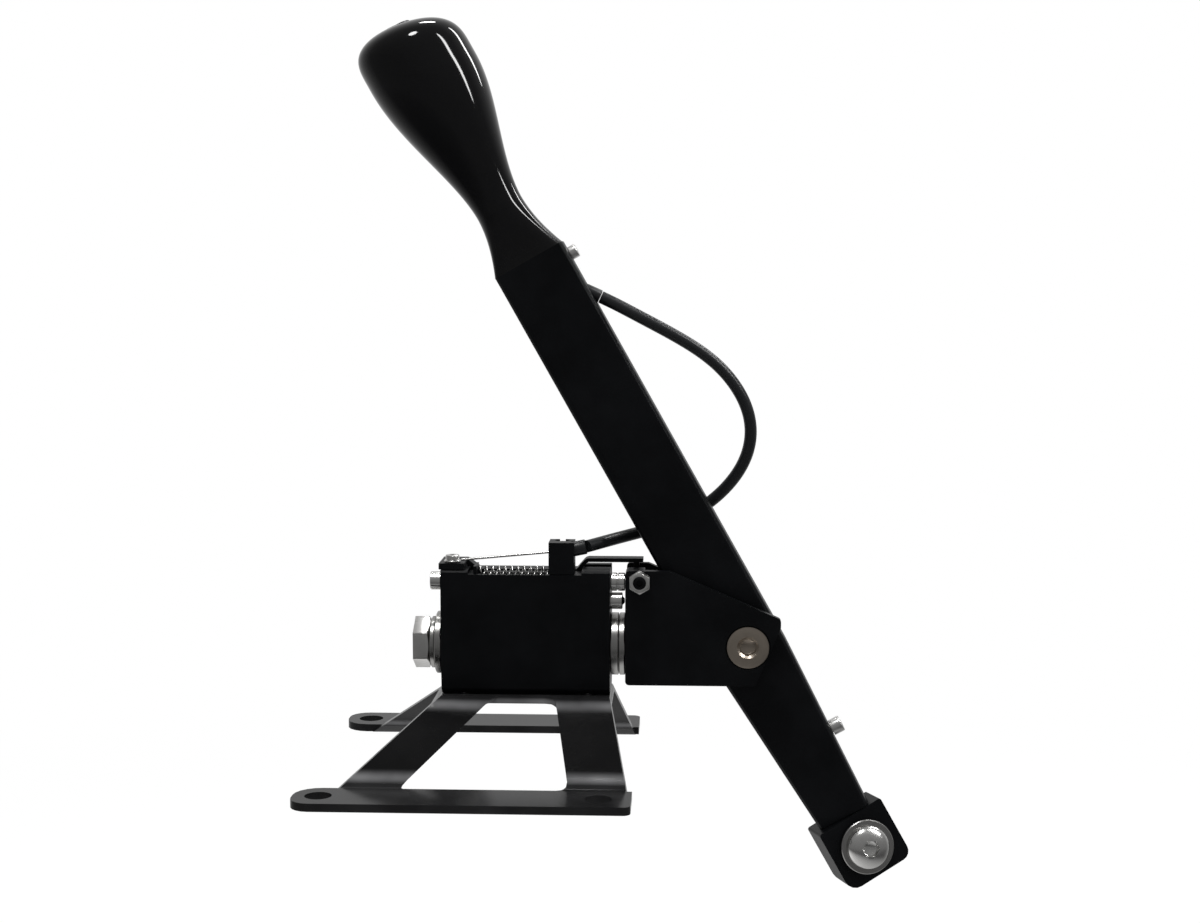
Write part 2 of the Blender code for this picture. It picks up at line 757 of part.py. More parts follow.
def bearing_housing():
    """The block on the base: bored for the shaft, recessed and channelled on top for the latch."""
    foot = BLOCK_FOOT
    half = BLOCK_HALF
    low_half = half - BLOCK_TAPER
    side = [
        (half - BLOCK_TOP_CHAMFER, BLOCK_TOP), (half, BLOCK_TOP - BLOCK_TOP_CHAMFER), (half, BLOCK_BREAK_Z),
        (low_half, foot + BLOCK_FOOT_CHAMFER), (low_half - BLOCK_FOOT_CHAMFER, foot),
    ]
    outline = side + [(-y, z) for y, z in side[::-1]]
    piece = plate("bearing_housing", outline, BLOCK_REAR, BLOCK_FRONT, "YZ", BLACK)
    out = OVER
    wide = half + out
    cut(
        piece,
        rod("shaft_bore", (BLOCK_REAR - out, 0, SHAFT_Z), (BLOCK_FRONT + out, 0, SHAFT_Z), BUSH_R + GAP),
        rod(
            "plug_bore", (BLOCK_REAR - out, ROD_Y, ROD_Z), (BLOCK_REAR + PLUG_L + GAP, ROD_Y, ROD_Z),
            ROD_R + GAP, sides=20,
        ),
        rod(
            "pin_bore", (BLOCK_FRONT - STOP_PIN_IN - GAP, ROD_Y, ROD_Z), (BLOCK_FRONT + out, ROD_Y, ROD_Z),
            ROD_R + GAP, sides=20,
        ),
        rod(
            "plunger_bore", (BLOCK_FRONT - PLUNGER_IN - GAP, ROD_Y, PLUNGER_Z),
            (BLOCK_FRONT + out, ROD_Y, PLUNGER_Z), PLUNGER_R + GAP, sides=24,
        ),
        box("recess", (RECESS_X, -wide, RECESS_FLOOR), (RECESS_END, wide, BLOCK_TOP + out)),
        box(
            "strap_channel", (ANCHOR_FRONT - GAP, STRAP_Y - STRAP_W / 2 - GAP, STRAP_LOW - GAP),
            (BLOCK_FRONT + out, STRAP_Y + STRAP_W / 2 + GAP, BLOCK_TOP + out),
        ),
        box(
            "seat_channel",
            (SPRING_SEAT_X - GAP, CABLE_Y - SPRING_R - GAP, STRAP_LOW - GAP),
            (SPRING_SEAT_X + SPRING_SEAT_T + BUTTON_TRAVEL + GAP, STRAP_Y, BLOCK_TOP + out),
        ),
        rod(
            "spring_groove", (SPRING_SEAT_X, CABLE_Y, SPRING_AXIS_Z), (CLAMP_X - GAP, CABLE_Y, SPRING_AXIS_Z),
            SPRING_R + SPRING_WIRE_R + GAP, sides=20,
        ),
        rod(
            "clamp_screw_hole", (CLAMP_SCREW_X, CLAMP_SCREW_Y, RECESS_FLOOR - CLAMP_SCREW_IN - GAP),
            (CLAMP_SCREW_X, CLAMP_SCREW_Y, BLOCK_TOP + out), CLAMP_SCREW_R + GAP, sides=16,
        ),
    )
    for number, (x, y) in enumerate(base_screw_places()):
        top = BASE_TOP + BASE_SCREW_IN + GAP
        low = BASE_TOP - OVER
        cut(piece, rod(f"block_screw_hole_{number}", (x, y, low), (x, y, top), BASE_SCREW_R + GAP, sides=16))
    return piece


def shaft_bushes():
    for name, start in (("shaft_bush_rear", BLOCK_REAR), ("shaft_bush_front", BLOCK_FRONT - BUSH_L)):
        ring(name, (start, 0, SHAFT_Z), (start + BUSH_L, 0, SHAFT_Z), BUSH_R, SHAFT_R + RUN, BRONZE, sides=24)


def gate_stops():
    """The pin whose tip runs in the yoke's slot, the plug behind it and the spring plunger under it."""
    rear = BLOCK_REAR - GAP
    front = BLOCK_FRONT + GAP
    plug = rod(
        "rear_plug", (rear - ROD_HEAD_T, ROD_Y, ROD_Z), (rear, ROD_Y, ROD_Z), ROD_HEAD_R, STEEL, sides=24,
    )
    plug_end = BLOCK_REAR + PLUG_L
    join(plug, rod("plug_shank", (rear - ROOT, ROD_Y, ROD_Z), (plug_end, ROD_Y, ROD_Z), ROD_R, sides=20))
    stop = rod(
        "stop_pin", (BLOCK_FRONT - STOP_PIN_IN, ROD_Y, ROD_Z), (WEB_X + ROD_TIP_L, ROD_Y, ROD_Z),
        ROD_R, STEEL, sides=20,
    )
    join(stop, rod("pin_collar", (front, ROD_Y, ROD_Z), (WEB_X - RUN, ROD_Y, ROD_Z), ROD_HEAD_R, sides=24))
    start = BLOCK_FRONT - PLUNGER_IN
    nose = WEB_X - RUN - PLUNGER_NOSE_L
    plunger = rod(
        "detent_plunger", (start, ROD_Y, PLUNGER_Z), (nose, ROD_Y, PLUNGER_Z), PLUNGER_R, STEEL, sides=24,
    )
    join(
        plunger,
        rod(
            "plunger_nose", (nose - ROOT, ROD_Y, PLUNGER_Z), (WEB_X - RUN, ROD_Y, PLUNGER_Z),
            PLUNGER_NOSE_R, tip=PLUNGER_NOSE_R * PLUNGER_TIP, sides=16,
        ),
    )


def cable_end_points():
    """Where the cable's outer starts in the ferrule, and the direction it leaves in."""
    seat = Vector((CLAMP_FRONT - FERRULE_SEAT, CABLE_Y, CABLE_END_Z))
    ahead = Vector((math.cos(CABLE_RISE), 0, math.sin(CABLE_RISE)))
    return seat, ahead


def cable_clamp():
    """The post that holds the cable's outer end, screwed down from inside its own top."""
    low = RECESS_FLOOR + GAP
    near = -BLOCK_HALF
    piece = box(
        "cable_clamp", (CLAMP_X, near, low), (CLAMP_FRONT, near + CLAMP_D, CLAMP_TOP), BLACK
    )
    seat, ahead = cable_end_points()
    x = CLAMP_SCREW_X
    y = CLAMP_SCREW_Y
    head_top = CLAMP_TOP - CLAMP_SCREW_SINK
    head_low = head_top - CLAMP_SCREW_HEAD_T
    end = RECESS_FLOOR - CLAMP_SCREW_IN
    wire_z = CABLE_END_Z - WIRE_DROP
    over = CLAMP_TOP + OVER
    head_r = CLAMP_SCREW_HEAD_R + GAP
    cut(
        piece,
        rod("ferrule_bore", seat - ahead * GAP, seat + ahead * OVER, FERRULE_R + GAP, sides=24),
        rod(
            "wire_bore", (CLAMP_X - OVER, CABLE_Y, wire_z), (seat.x + ROOT, CABLE_Y, wire_z), WIRE_HOLE_R,
            sides=16,
        ),
        rod("clamp_screw_bore", (x, y, low - OVER), (x, y, over), CLAMP_SCREW_R + GAP, sides=16),
        rod("clamp_head_bore", (x, y, head_low - GAP), (x, y, over), head_r, sides=24),
    )
    profile = [
        (0, head_top), (CLAMP_SCREW_HEAD_R, head_top), (CLAMP_SCREW_HEAD_R, head_low),
        (CLAMP_SCREW_R, head_low), (CLAMP_SCREW_R, end), (0, end),
    ]
    turned("clamp_screw", profile, Matrix.Translation((x, y, 0)), STEEL, steps=16)
    body = rod("cable_ferrule", seat, seat + ahead * FERRULE_L, FERRULE_R, CABLE, sides=24)
    cut(body, rod("ferrule_hole", seat - ahead * OVER, seat + ahead * OVER, WIRE_R + GAP * 2, sides=12))


def lever_point(across, up, y=0.0):
    """A place in the lever's own frame, given in the part's frame."""
    s = math.sin(LEVER_TILT)
    c = math.cos(LEVER_TILT)
    return Vector((PIVOT_X + across * c - up * s, y, PIVOT_Z + across * s + up * c))


def cable_outer():
    """The black outer, from the ferrule in the clamp to the lever's front face."""
    seat, ahead = cable_end_points()
    start = seat + ahead * (FERRULE_L + GAP)
    mouth = lever_point(LEVER_FRONT, CABLE_EXIT_S)
    end = mouth + CABLE_DIR * CABLE_STANDOFF
    route = [start, start + ahead * CABLE_STRAIGHT, *CABLE_ROUTE, end + CABLE_DIR * CABLE_STRAIGHT, end]
    tube("cable_outer", smooth_route(route, CABLE_STEP), CABLE_R, CABLE)


def latch(body):
    """The strap that slides along the block: wire anchor, spring seat and locking tooth."""
    half = STRAP_W / 2
    low = STRAP_LOW + STRAP_T / 2
    high = STRAP_HIGH + STRAP_T / 2
    jog_from = CLAMP_FRONT + STRAP_JOG_GAP
    jog_to = jog_from + STRAP_JOG_L
    path = [
        (ANCHOR_REAR, ANCHOR_TOP - STRAP_T / 2), (ANCHOR_FRONT, ANCHOR_TOP - STRAP_T / 2),
        (ANCHOR_FRONT + ANCHOR_STEP_L, low), (jog_from, low), (jog_to, high), (STRAP_END, high),
    ]
    strap = plate(
        "latch_slider", sheet_profile(path, STRAP_BEND_R + STRAP_T / 2, STRAP_T, 3),
        STRAP_Y - half, STRAP_Y + half, "XZ", BLACK, body,
    )
    foot_low = BLOCK_TOP + GAP
    foot_near = CABLE_Y - ANCHOR_EDGE
    x = ANCHOR_SCREW_X
    join(
        strap,
        box(
            "foot", (ANCHOR_REAR, foot_near, foot_low), (ANCHOR_FRONT, STRAP_Y + half, ANCHOR_TOP),
            None, body,
        ),
        box(
            "spring_seat", (SPRING_SEAT_X, CABLE_Y - SPRING_R, STRAP_LOW),
            (SPRING_SEAT_X + SPRING_SEAT_T, STRAP_Y - half + ROOT, SPRING_AXIS_Z + SPRING_R), None, body,
        ),
        box(
            "tooth", (TOOTH_X, STRAP_Y - TOOTH_W / 2, STRAP_HIGH - TOOTH_DROP),
            (TOOTH_X + TOOTH_L, STRAP_Y + TOOTH_W / 2, STRAP_HIGH + STRAP_T / 2), None, body,
        ),
    )
    cut(
        strap,
        rod(
            "anchor_hole", (x, CABLE_Y, foot_low - OVER), (x, CABLE_Y, ANCHOR_TOP + OVER),
            ANCHOR_SCREW_R + GAP, None, body, sides=16,
        ),
    )
    washer_low = ANCHOR_TOP + GAP
    head_low = washer_low + ANCHOR_WASHER_T + GAP
    ring(
        "anchor_washer", (x, CABLE_Y, washer_low),
        (x, CABLE_Y, washer_low + ANCHOR_WASHER_T), ANCHOR_WASHER_R, ANCHOR_SCREW_R + GAP,
        STEEL, body, sides=16,
    )
    profile = [
        (0, head_low + ANCHOR_HEAD_T), (ANCHOR_HEAD_R, head_low + ANCHOR_HEAD_T), (ANCHOR_HEAD_R, head_low),
        (ANCHOR_SCREW_R, head_low), (ANCHOR_SCREW_R, foot_low), (0, foot_low),
    ]
    turned("anchor_screw", profile, Matrix.Translation((x, CABLE_Y, 0)), STEEL, body, steps=20)
    wire_start = Vector((x + ANCHOR_WASHER_R + GAP, CABLE_Y, ANCHOR_TOP + WIRE_R + GAP))
    wire_end = Vector((CLAMP_X + WIRE_IN_CLAMP, CABLE_Y, CABLE_END_Z - WIRE_DROP))
    tube("inner_wire", [wire_start, wire_end], WIRE_R, STEEL, body, fineness=1)
    start = (SPRING_SEAT_X + SPRING_SEAT_T + GAP + SPRING_WIRE_R, CABLE_Y, SPRING_AXIS_Z)
    length = CLAMP_X - GAP - SPRING_WIRE_R - start[0]
    coil = helix(start, length, SPRING_R, SPRING_TURNS, (0, 1, 0), (0, 0, 1), (1, 0, 0))
    tube("latch_spring", coil, SPRING_WIRE_R, STEEL, None, fineness=1)


def yoke(body):
    """Web on the shaft with two cheeks; the near one is the long one, the far one hides behind the lever."""
    near = [
        (WEB_X, YOKE_BOTTOM, YOKE_CORNER_R), (PIVOT_X + YOKE_TAIL_X, YOKE_BOTTOM, YOKE_CORNER_R),
        (PIVOT_X + YOKE_NOSE_X, PIVOT_Z + YOKE_NOSE_LOW, YOKE_CORNER_R),
        (PIVOT_X + YOKE_NOSE_X, PIVOT_Z + YOKE_NOSE_TOP, YOKE_CORNER_R),
        (WEB_X + YOKE_TOP_L, YOKE_TOP, YOKE_CORNER_R), (WEB_X, YOKE_TOP, YOKE_CORNER_R),
    ]
    piece = plate("yoke", rounded(near, 3), -YOKE_HALF, YOKE_HALF, "XZ", BLACK, body)
    side = YOKE_HALF + OVER
    pivot = Vector((PIVOT_X, PIVOT_Z))
    top = Vector((WEB_X + FAR_CHEEK_TOP_L, YOKE_TOP))
    line = pivot - top
    lean = math.atan2(line.y, line.x) + math.asin(FAR_CHEEK_R / line.length)
    start = lean + math.pi / 2
    end = math.radians(-90)
    steps = 12
    angles = [start + (end - start) * k / steps for k in range(steps + 1)]
    arc = [pivot + Vector((math.cos(angle), math.sin(angle))) * FAR_CHEEK_R for angle in angles]
    wide = OVER
    past = PIVOT_X + YOKE_NOSE_X + OVER
    outside = [
        (WEB_X - wide, YOKE_TOP + wide), (WEB_X - wide, YOKE_TOP + ROOT), (top.x, YOKE_TOP + ROOT),
        tuple(top), *[tuple(point) for point in arc],
        (PIVOT_X, YOKE_BOTTOM - ROOT), (PIVOT_X, YOKE_BOTTOM - wide),
        (past, YOKE_BOTTOM - wide), (past, YOKE_TOP + wide),
    ]
    slot_low = (FORK_X, -FORK_HALF, YOKE_BOTTOM - wide)
    slot_high = (past, FORK_HALF, YOKE_TOP + wide)
    arc_reach = (ROD_Z - SHAFT_Z) * math.sin(ROLL_LIMIT) + ROD_R + RUN * 2
    swing = abs(ROD_Y) * math.sin(ROLL_LIMIT) + ROD_R + RUN * 2
    cut(
        piece,
        box("fork_slot", slot_low, slot_high, None, body),
        plate("far_cheek_outside", outside, FORK_HALF - ROOT, YOKE_HALF + wide, "XZ", None, body),
        rod(
            "yoke_shaft_bore", (WEB_X - wide, 0, SHAFT_Z), (FORK_X + ROOT, 0, SHAFT_Z), SHAFT_R + GAP,
            None, body,
        ),
        rod("pivot_bore", (PIVOT_X, -side, PIVOT_Z), (PIVOT_X, side, PIVOT_Z), PIVOT_R + GAP, None, body),
        countersink(body),
        rod(
            "ear_screw_bore", (EAR_SCREW_X, -side, EAR_SCREW_Z),
            (EAR_SCREW_X, EAR_SCREW_END + GAP, EAR_SCREW_Z), EAR_SCREW_R + GAP, None, body, sides=16,
        ),
        box(
            "tooth_notch", (WEB_X - ROOT, STRAP_Y - NOTCH_HALF, STRAP_HIGH - TOOTH_DROP - NOTCH_ROOM),
            (FORK_X + ROOT, STRAP_Y + NOTCH_HALF, YOKE_TOP + wide), None, body,
        ),
        box(
            "stop_slot", (WEB_X - ROOT, ROD_Y - arc_reach, ROD_Z - swing),
            (WEB_X + ROD_TIP_L + GAP, ROD_Y + arc_reach, ROD_Z + swing), None, body,
        ),
    )
    return piece


def countersink(body):
    """The cone in the near cheek, a little wider all over than the pivot bolt's head."""
    rim = YOKE_HALF - GAP - PIVOT_RIM
    wide = PIVOT_HEAD_R + SINK_ROOM
    profile = [
        (0, YOKE_HALF + ROOT), (wide, YOKE_HALF + ROOT), (wide, rim),
        (PIVOT_R + SINK_ROOM, FORK_HALF), (0, FORK_HALF),
    ]
    place = Matrix.Translation((PIVOT_X, 0, PIVOT_Z)) @ Matrix.Rotation(math.radians(90), 4, "X")
    return turned("pivot_countersink", profile, place, None, body)


def shaft_and_washers(body):
    """The hex-headed shaft with its washers behind the block, and what holds it in the yoke."""
    washer = BLOCK_REAR - THRUST
    lock = washer - FLAT_WASHER_T - THRUST
    head = lock - LOCK_WASHER_T - THRUST
    end = FORK_X + GAP + JAM_T + SHAFT_PROUD

    def x_at(value):
        return (value, 0, SHAFT_Z)

    shaft = hexagon("shift_shaft", x_at(head - HEAD_T), x_at(head), HEAD_AF, STEEL, body)
    join(shaft, rod("shaft_shank", x_at(head - ROOT), x_at(end), SHAFT_R, None, body))
    ring("flat_washer", x_at(washer - FLAT_WASHER_T), x_at(washer), FLAT_WASHER_R, SHAFT_R + GAP, STEEL, body)
    ring("lock_washer", x_at(lock - LOCK_WASHER_T), x_at(lock), LOCK_WASHER_R, SHAFT_R + GAP, STEEL, body)
    for name, start, thick in (
        ("thrust_washer_1", THRUST1_X, THRUST_T1), ("thrust_washer_2", THRUST2_X, THRUST_T2),
    ):
        ring(name, x_at(start), x_at(start + thick), THRUST_R, SHAFT_R + GAP, STEEL, body)
    nut = hexagon("jam_nut", x_at(FORK_X + GAP), x_at(FORK_X + GAP + JAM_T), JAM_AF, STEEL, body)
    cut(nut, rod("jam_bore", x_at(FORK_X - ROOT), x_at(end + ROOT), SHAFT_R + GAP, None, body))


def ear_screw(body):
    """The set screw in the yoke's near ear, short of the notch, with its locknut."""
    near = -YOKE_HALF - GAP
    x = EAR_SCREW_X
    z = EAR_SCREW_Z
    outer = near - EAR_NUT_T
    outside = (x, outer - EAR_SCREW_PROUD, z)
    rod("ear_screw", outside, (x, EAR_SCREW_END, z), EAR_SCREW_R, STEEL, body, sides=16)
    nut = hexagon("ear_nut", (x, outer, z), (x, near, z), EAR_NUT_AF, STEEL, body)
    hole = EAR_SCREW_R + GAP
    cut(nut, rod("ear_nut_bore", (x, outer - ROOT, z), (x, near + ROOT, z), hole, None, body, sides=16))


def pivot_bolt(body):
    """The countersunk bolt that the lever swings on, its far washer and its nut."""
    near = -YOKE_HALF + GAP
    far = YOKE_HALF + GAP
    washer_out = far + PIVOT_WASHER_T
    nut_in = washer_out + GAP
    nut_out = nut_in + PIVOT_NUT_T
    cone = CHEEK_T - GAP
    place = Matrix.Translation((PIVOT_X, 0, PIVOT_Z)) @ Matrix.Rotation(math.radians(90), 4, "X")
    profile = [
        (0, -near), (PIVOT_HEAD_R, -near), (PIVOT_HEAD_R, -near - PIVOT_RIM), (PIVOT_R, -near - cone),
        (PIVOT_R, -nut_out - BOLT_PROUD), (0, -nut_out - BOLT_PROUD),
    ]
    bolt = turned("pivot_bolt", profile, place, WARM, body)
    mouth = (PIVOT_X, near - ROOT, PIVOT_Z)
    cut(bolt, hexagon("pivot_socket", mouth, (PIVOT_X, near + SOCKET_D, PIVOT_Z), SOCKET_AF, None, body))
    ring(
        "pivot_washer", (PIVOT_X, far, PIVOT_Z), (PIVOT_X, washer_out, PIVOT_Z),
        PIVOT_WASHER_R, PIVOT_R + GAP, STEEL, body,
    )
    nut = hexagon(
        "pivot_nut", (PIVOT_X, nut_in, PIVOT_Z), (PIVOT_X, nut_out, PIVOT_Z), PIVOT_NUT_AF, STEEL, body,
    )
    past = (PIVOT_X, nut_out + OVER, PIVOT_Z)
    cut(nut, rod("pivot_nut_bore", (PIVOT_X, 0, PIVOT_Z), past, PIVOT_R + GAP, None, body))


def round_box(rear, front, half, radius, height, steps=3):
    """A level ring in the lever's frame: a rectangle with round corners."""
    corners = [(rear, -half, radius), (front, -half, radius), (front, half, radius), (rear, half, radius)]
    return [(point.x, point.y, height) for point in rounded(corners, steps)]


def lever(body):
    """The straight bar: hollow at the top for the release, bored for the pivot and the clevis."""
    sections = [
        round_box(-LEVER_END_REAR, LEVER_END_FRONT, LEVER_HALF, LEVER_EDGE_R, LEVER_END),
        round_box(-LEVER_REAR, LEVER_FRONT, LEVER_HALF, LEVER_EDGE_R, LEVER_TAPER_FROM),
        round_box(-LEVER_REAR, LEVER_FRONT, LEVER_HALF, LEVER_EDGE_R, LEVER_TOP),
    ]
    piece = loft("lever", sections, BLACK, body)
    inner = LEVER_HALF - POCKET_WALL
    mouth = Vector((LEVER_FRONT, 0, CABLE_EXIT_S))
    turn = Matrix.Rotation(LEVER_TILT, 3, "Y")
    out = turn @ CABLE_DIR
    cut(
        piece,
        box(
            "lever_pocket", (-LEVER_REAR + POCKET_WALL, -inner, POCKET_FLOOR),
            (LEVER_FRONT - POCKET_WALL, inner, LEVER_TOP + OVER), None, body,
        ),
        rod("lever_pivot_bore", (0, -LEVER_T, 0), (0, LEVER_T, 0), PIVOT_BUSH_R + GAP, None, body),
        rod(
            "spigot_bore", (0, 0, LEVER_END - OVER), (0, 0, LEVER_END + CLEVIS_SPIGOT_L + GAP),
            SPIGOT_R + GAP, None, body,
        ),
        rod(
            "knob_screw_hole", (LEVER_FRONT - POCKET_WALL - ROOT, 0, LEVER_TOP - KNOB_SCREW_DOWN),
            (LEVER_FRONT + OVER, 0, LEVER_TOP - KNOB_SCREW_DOWN), KNOB_SCREW_R + GAP, None, body, sides=16,
        ),
        rod(
            "clevis_screw_hole", (SPIGOT_R - CLEVIS_DIMPLE_D, 0, CLEVIS_SCREW_S),
            (LEVER_FRONT + OVER, 0, CLEVIS_SCREW_S), CLEVIS_SCREW_R + GAP, None, body, sides=16,
        ),
        rod(
            "cable_hole", mouth - out * OVER, mouth + out * OVER, LEVER_FERRULE_R + GAP,
            None, body, sides=24,
        ),
        rod(
            "rocker_pin_hole", (ROCKER_X, -LEVER_HALF + 2 * GAP, ROCKER_S),
            (ROCKER_X, LEVER_HALF + ROOT, ROCKER_S), ROCKER_PIN_R + GAP, None, body, sides=16,
        ),
    )
    return piece


def pivot_bushes(body):
    """Two flanged bushes pressed into the lever from its two faces."""
    face = LEVER_HALF + GAP
    bore = PIVOT_R + RUN
    profile = [
        (PIVOT_FLANGE_R, face + PIVOT_FLANGE_T), (PIVOT_FLANGE_R, face), (PIVOT_BUSH_R, face),
        (PIVOT_BUSH_R, GAP), (bore, GAP), (bore, face + PIVOT_FLANGE_T),
    ]
    for name, angle in (("pivot_bush_near", 90), ("pivot_bush_far", -90)):
        place = Matrix.Rotation(math.radians(angle), 4, "X")
        turned(name, profile, place, BRONZE, body, steps=24, closed=True)


def ease(share):
    """A share of 0 to 1, made slow at both ends."""
    share = min(max(share, 0), 1)
    return share * share * (3 - 2 * share)


def knob_half(height):
    """Half the knob's width at a height above the lever: flare, waist, bulb and round crown."""
    if height <= NECK_H:
        return NECK_R + (KNOB_ROOT - NECK_R) * (1 - height / NECK_H) ** KNOB_FLARE
    rise = ease((height - NECK_H) / (KNOB_WIDEST_H - NECK_H))
    bulb = NECK_R + (KNOB_R - NECK_R) * rise**KNOB_SWELL
    share = min(max((height - KNOB_H + KNOB_RIM) / KNOB_RIM, 0), 1)
    return bulb * (1 - share**CROWN_ROUNDNESS) ** (1 / CROWN_FALL)


def knob_heights():
    """Heights of the knob's rings: even below the rim, then closer as the crown rounds off to its land."""
    rim = KNOB_H - KNOB_RIM
    lower = 14
    upper = 7
    land = (1 - (KNOB_LAND_R / KNOB_R) ** CROWN_FALL) ** (1 / CROWN_ROUNDNESS)
    heights = [rim * k / lower for k in range(lower)]
    return heights + [rim + KNOB_RIM * land * math.sin(math.pi / 2 * k / upper) for k in range(upper + 1)]


def knob_ring(height, count=32):
    """A ring of the knob: the lever's oblong at the root, round from the waist up, leaning at the crown."""
    wide = knob_half(height)
    share = 1 - min(height / NECK_H, 1)
    deep = wide + (LEVER_HALF - KNOB_ROOT) * share**KNOB_SIDE_FLARE
    power = 2 / (2 + KNOB_SQUARENESS * share * share)
    lean = CROWN_LEAN * min(max((height - NECK_H) / (KNOB_WIDEST_H - NECK_H), 0), 1)
    circle = []
    for k in range(count):
        c = math.cos(math.tau * k / count)
        s = math.sin(math.tau * k / count)
        x = math.copysign(abs(c) ** power, c) * wide
        y = math.copysign(abs(s) ** power, s) * deep
        circle.append((KNOB_AXIS + x, y, LEVER_TOP + GAP + height - lean * x))
    return circle


def knob(body):
    """The turned grip, whose waist runs out into the lever's own oblong."""
    piece = loft("knob", [knob_ring(height) for height in knob_heights()], GLOSS, body)
    inner = LEVER_HALF - POCKET_WALL - GAP
    rear = -LEVER_REAR + POCKET_WALL + GAP
    front = LEVER_FRONT - POCKET_WALL - GAP
    spigot_low = (rear, -inner, LEVER_TOP - SPIGOT_L)
    spigot_high = (front, inner, LEVER_TOP + GAP + ROOT)
    join(piece, box("knob_spigot", spigot_low, spigot_high, None, body))
    screw_s = LEVER_TOP - KNOB_SCREW_DOWN
    cut(
        piece,
        rod(
            "button_bore", (KNOB_AXIS, 0, BUTTON_FLOOR), (KNOB_AXIS, 0, CROWN + OVER), BUTTON_R + RUN,
            None, body,
        ),
        rod(
            "push_rod_bore", (KNOB_AXIS, 0, LEVER_TOP - SPIGOT_L - OVER), (KNOB_AXIS, 0, CROWN),
            PUSH_ROD_R + RUN, None, body, sides=16,
        ),
        rod(
            "spigot_screw_hole", (front - KNOB_SCREW_IN - GAP, 0, screw_s), (front + OVER, 0, screw_s),
            KNOB_SCREW_R + GAP, None, body, sides=16,
        ),
    )
    return piece


def cap_screw(name, place, radius, head_radius, head, length, finish, parent, steps=16):
    """A cap screw whose head sits on the place's Z plane and whose shank runs down."""
    profile = [
        (0, head), (head_radius - CAP_EDGE, head), (head_radius, head - CAP_EDGE), (head_radius, 0),
        (radius, 0), (radius, -length), (0, -length),
    ]
    return turned(name, profile, place, finish, parent, steps)


def lever_screws(body):
    """The two cap screws on the lever's front face: one holds the knob, one the clevis."""
    toward = Matrix.Rotation(math.radians(90), 4, "Y")
    seat = Matrix.Translation((LEVER_FRONT + GAP, 0, LEVER_TOP - KNOB_SCREW_DOWN)) @ toward
    cap_screw(
        "knob_screw", seat, KNOB_SCREW_R, KNOB_SCREW_HEAD_R, KNOB_SCREW_HEAD_T,
        POCKET_WALL + GAP + KNOB_SCREW_IN, STEEL, body,
    )
    share = (CLEVIS_SCREW_S - LEVER_END) / (LEVER_TAPER_FROM - LEVER_END)
    face = LEVER_END_FRONT + (LEVER_FRONT - LEVER_END_FRONT) * share
    lean = math.atan2(LEVER_FRONT - LEVER_END_FRONT, LEVER_TAPER_FROM - LEVER_END)
    clear = CLEVIS_SCREW_HEAD_R * math.tan(lean) + GAP
    seat = Matrix.Translation((face + clear, 0, CLEVIS_SCREW_S)) @ toward
    cap_screw(
        "clevis_screw", seat, CLEVIS_SCREW_R, CLEVIS_SCREW_HEAD_R, CLEVIS_SCREW_HEAD_T,
        face + clear - SPIGOT_R + CLEVIS_DIMPLE_D - GAP, STEEL, body,
    )


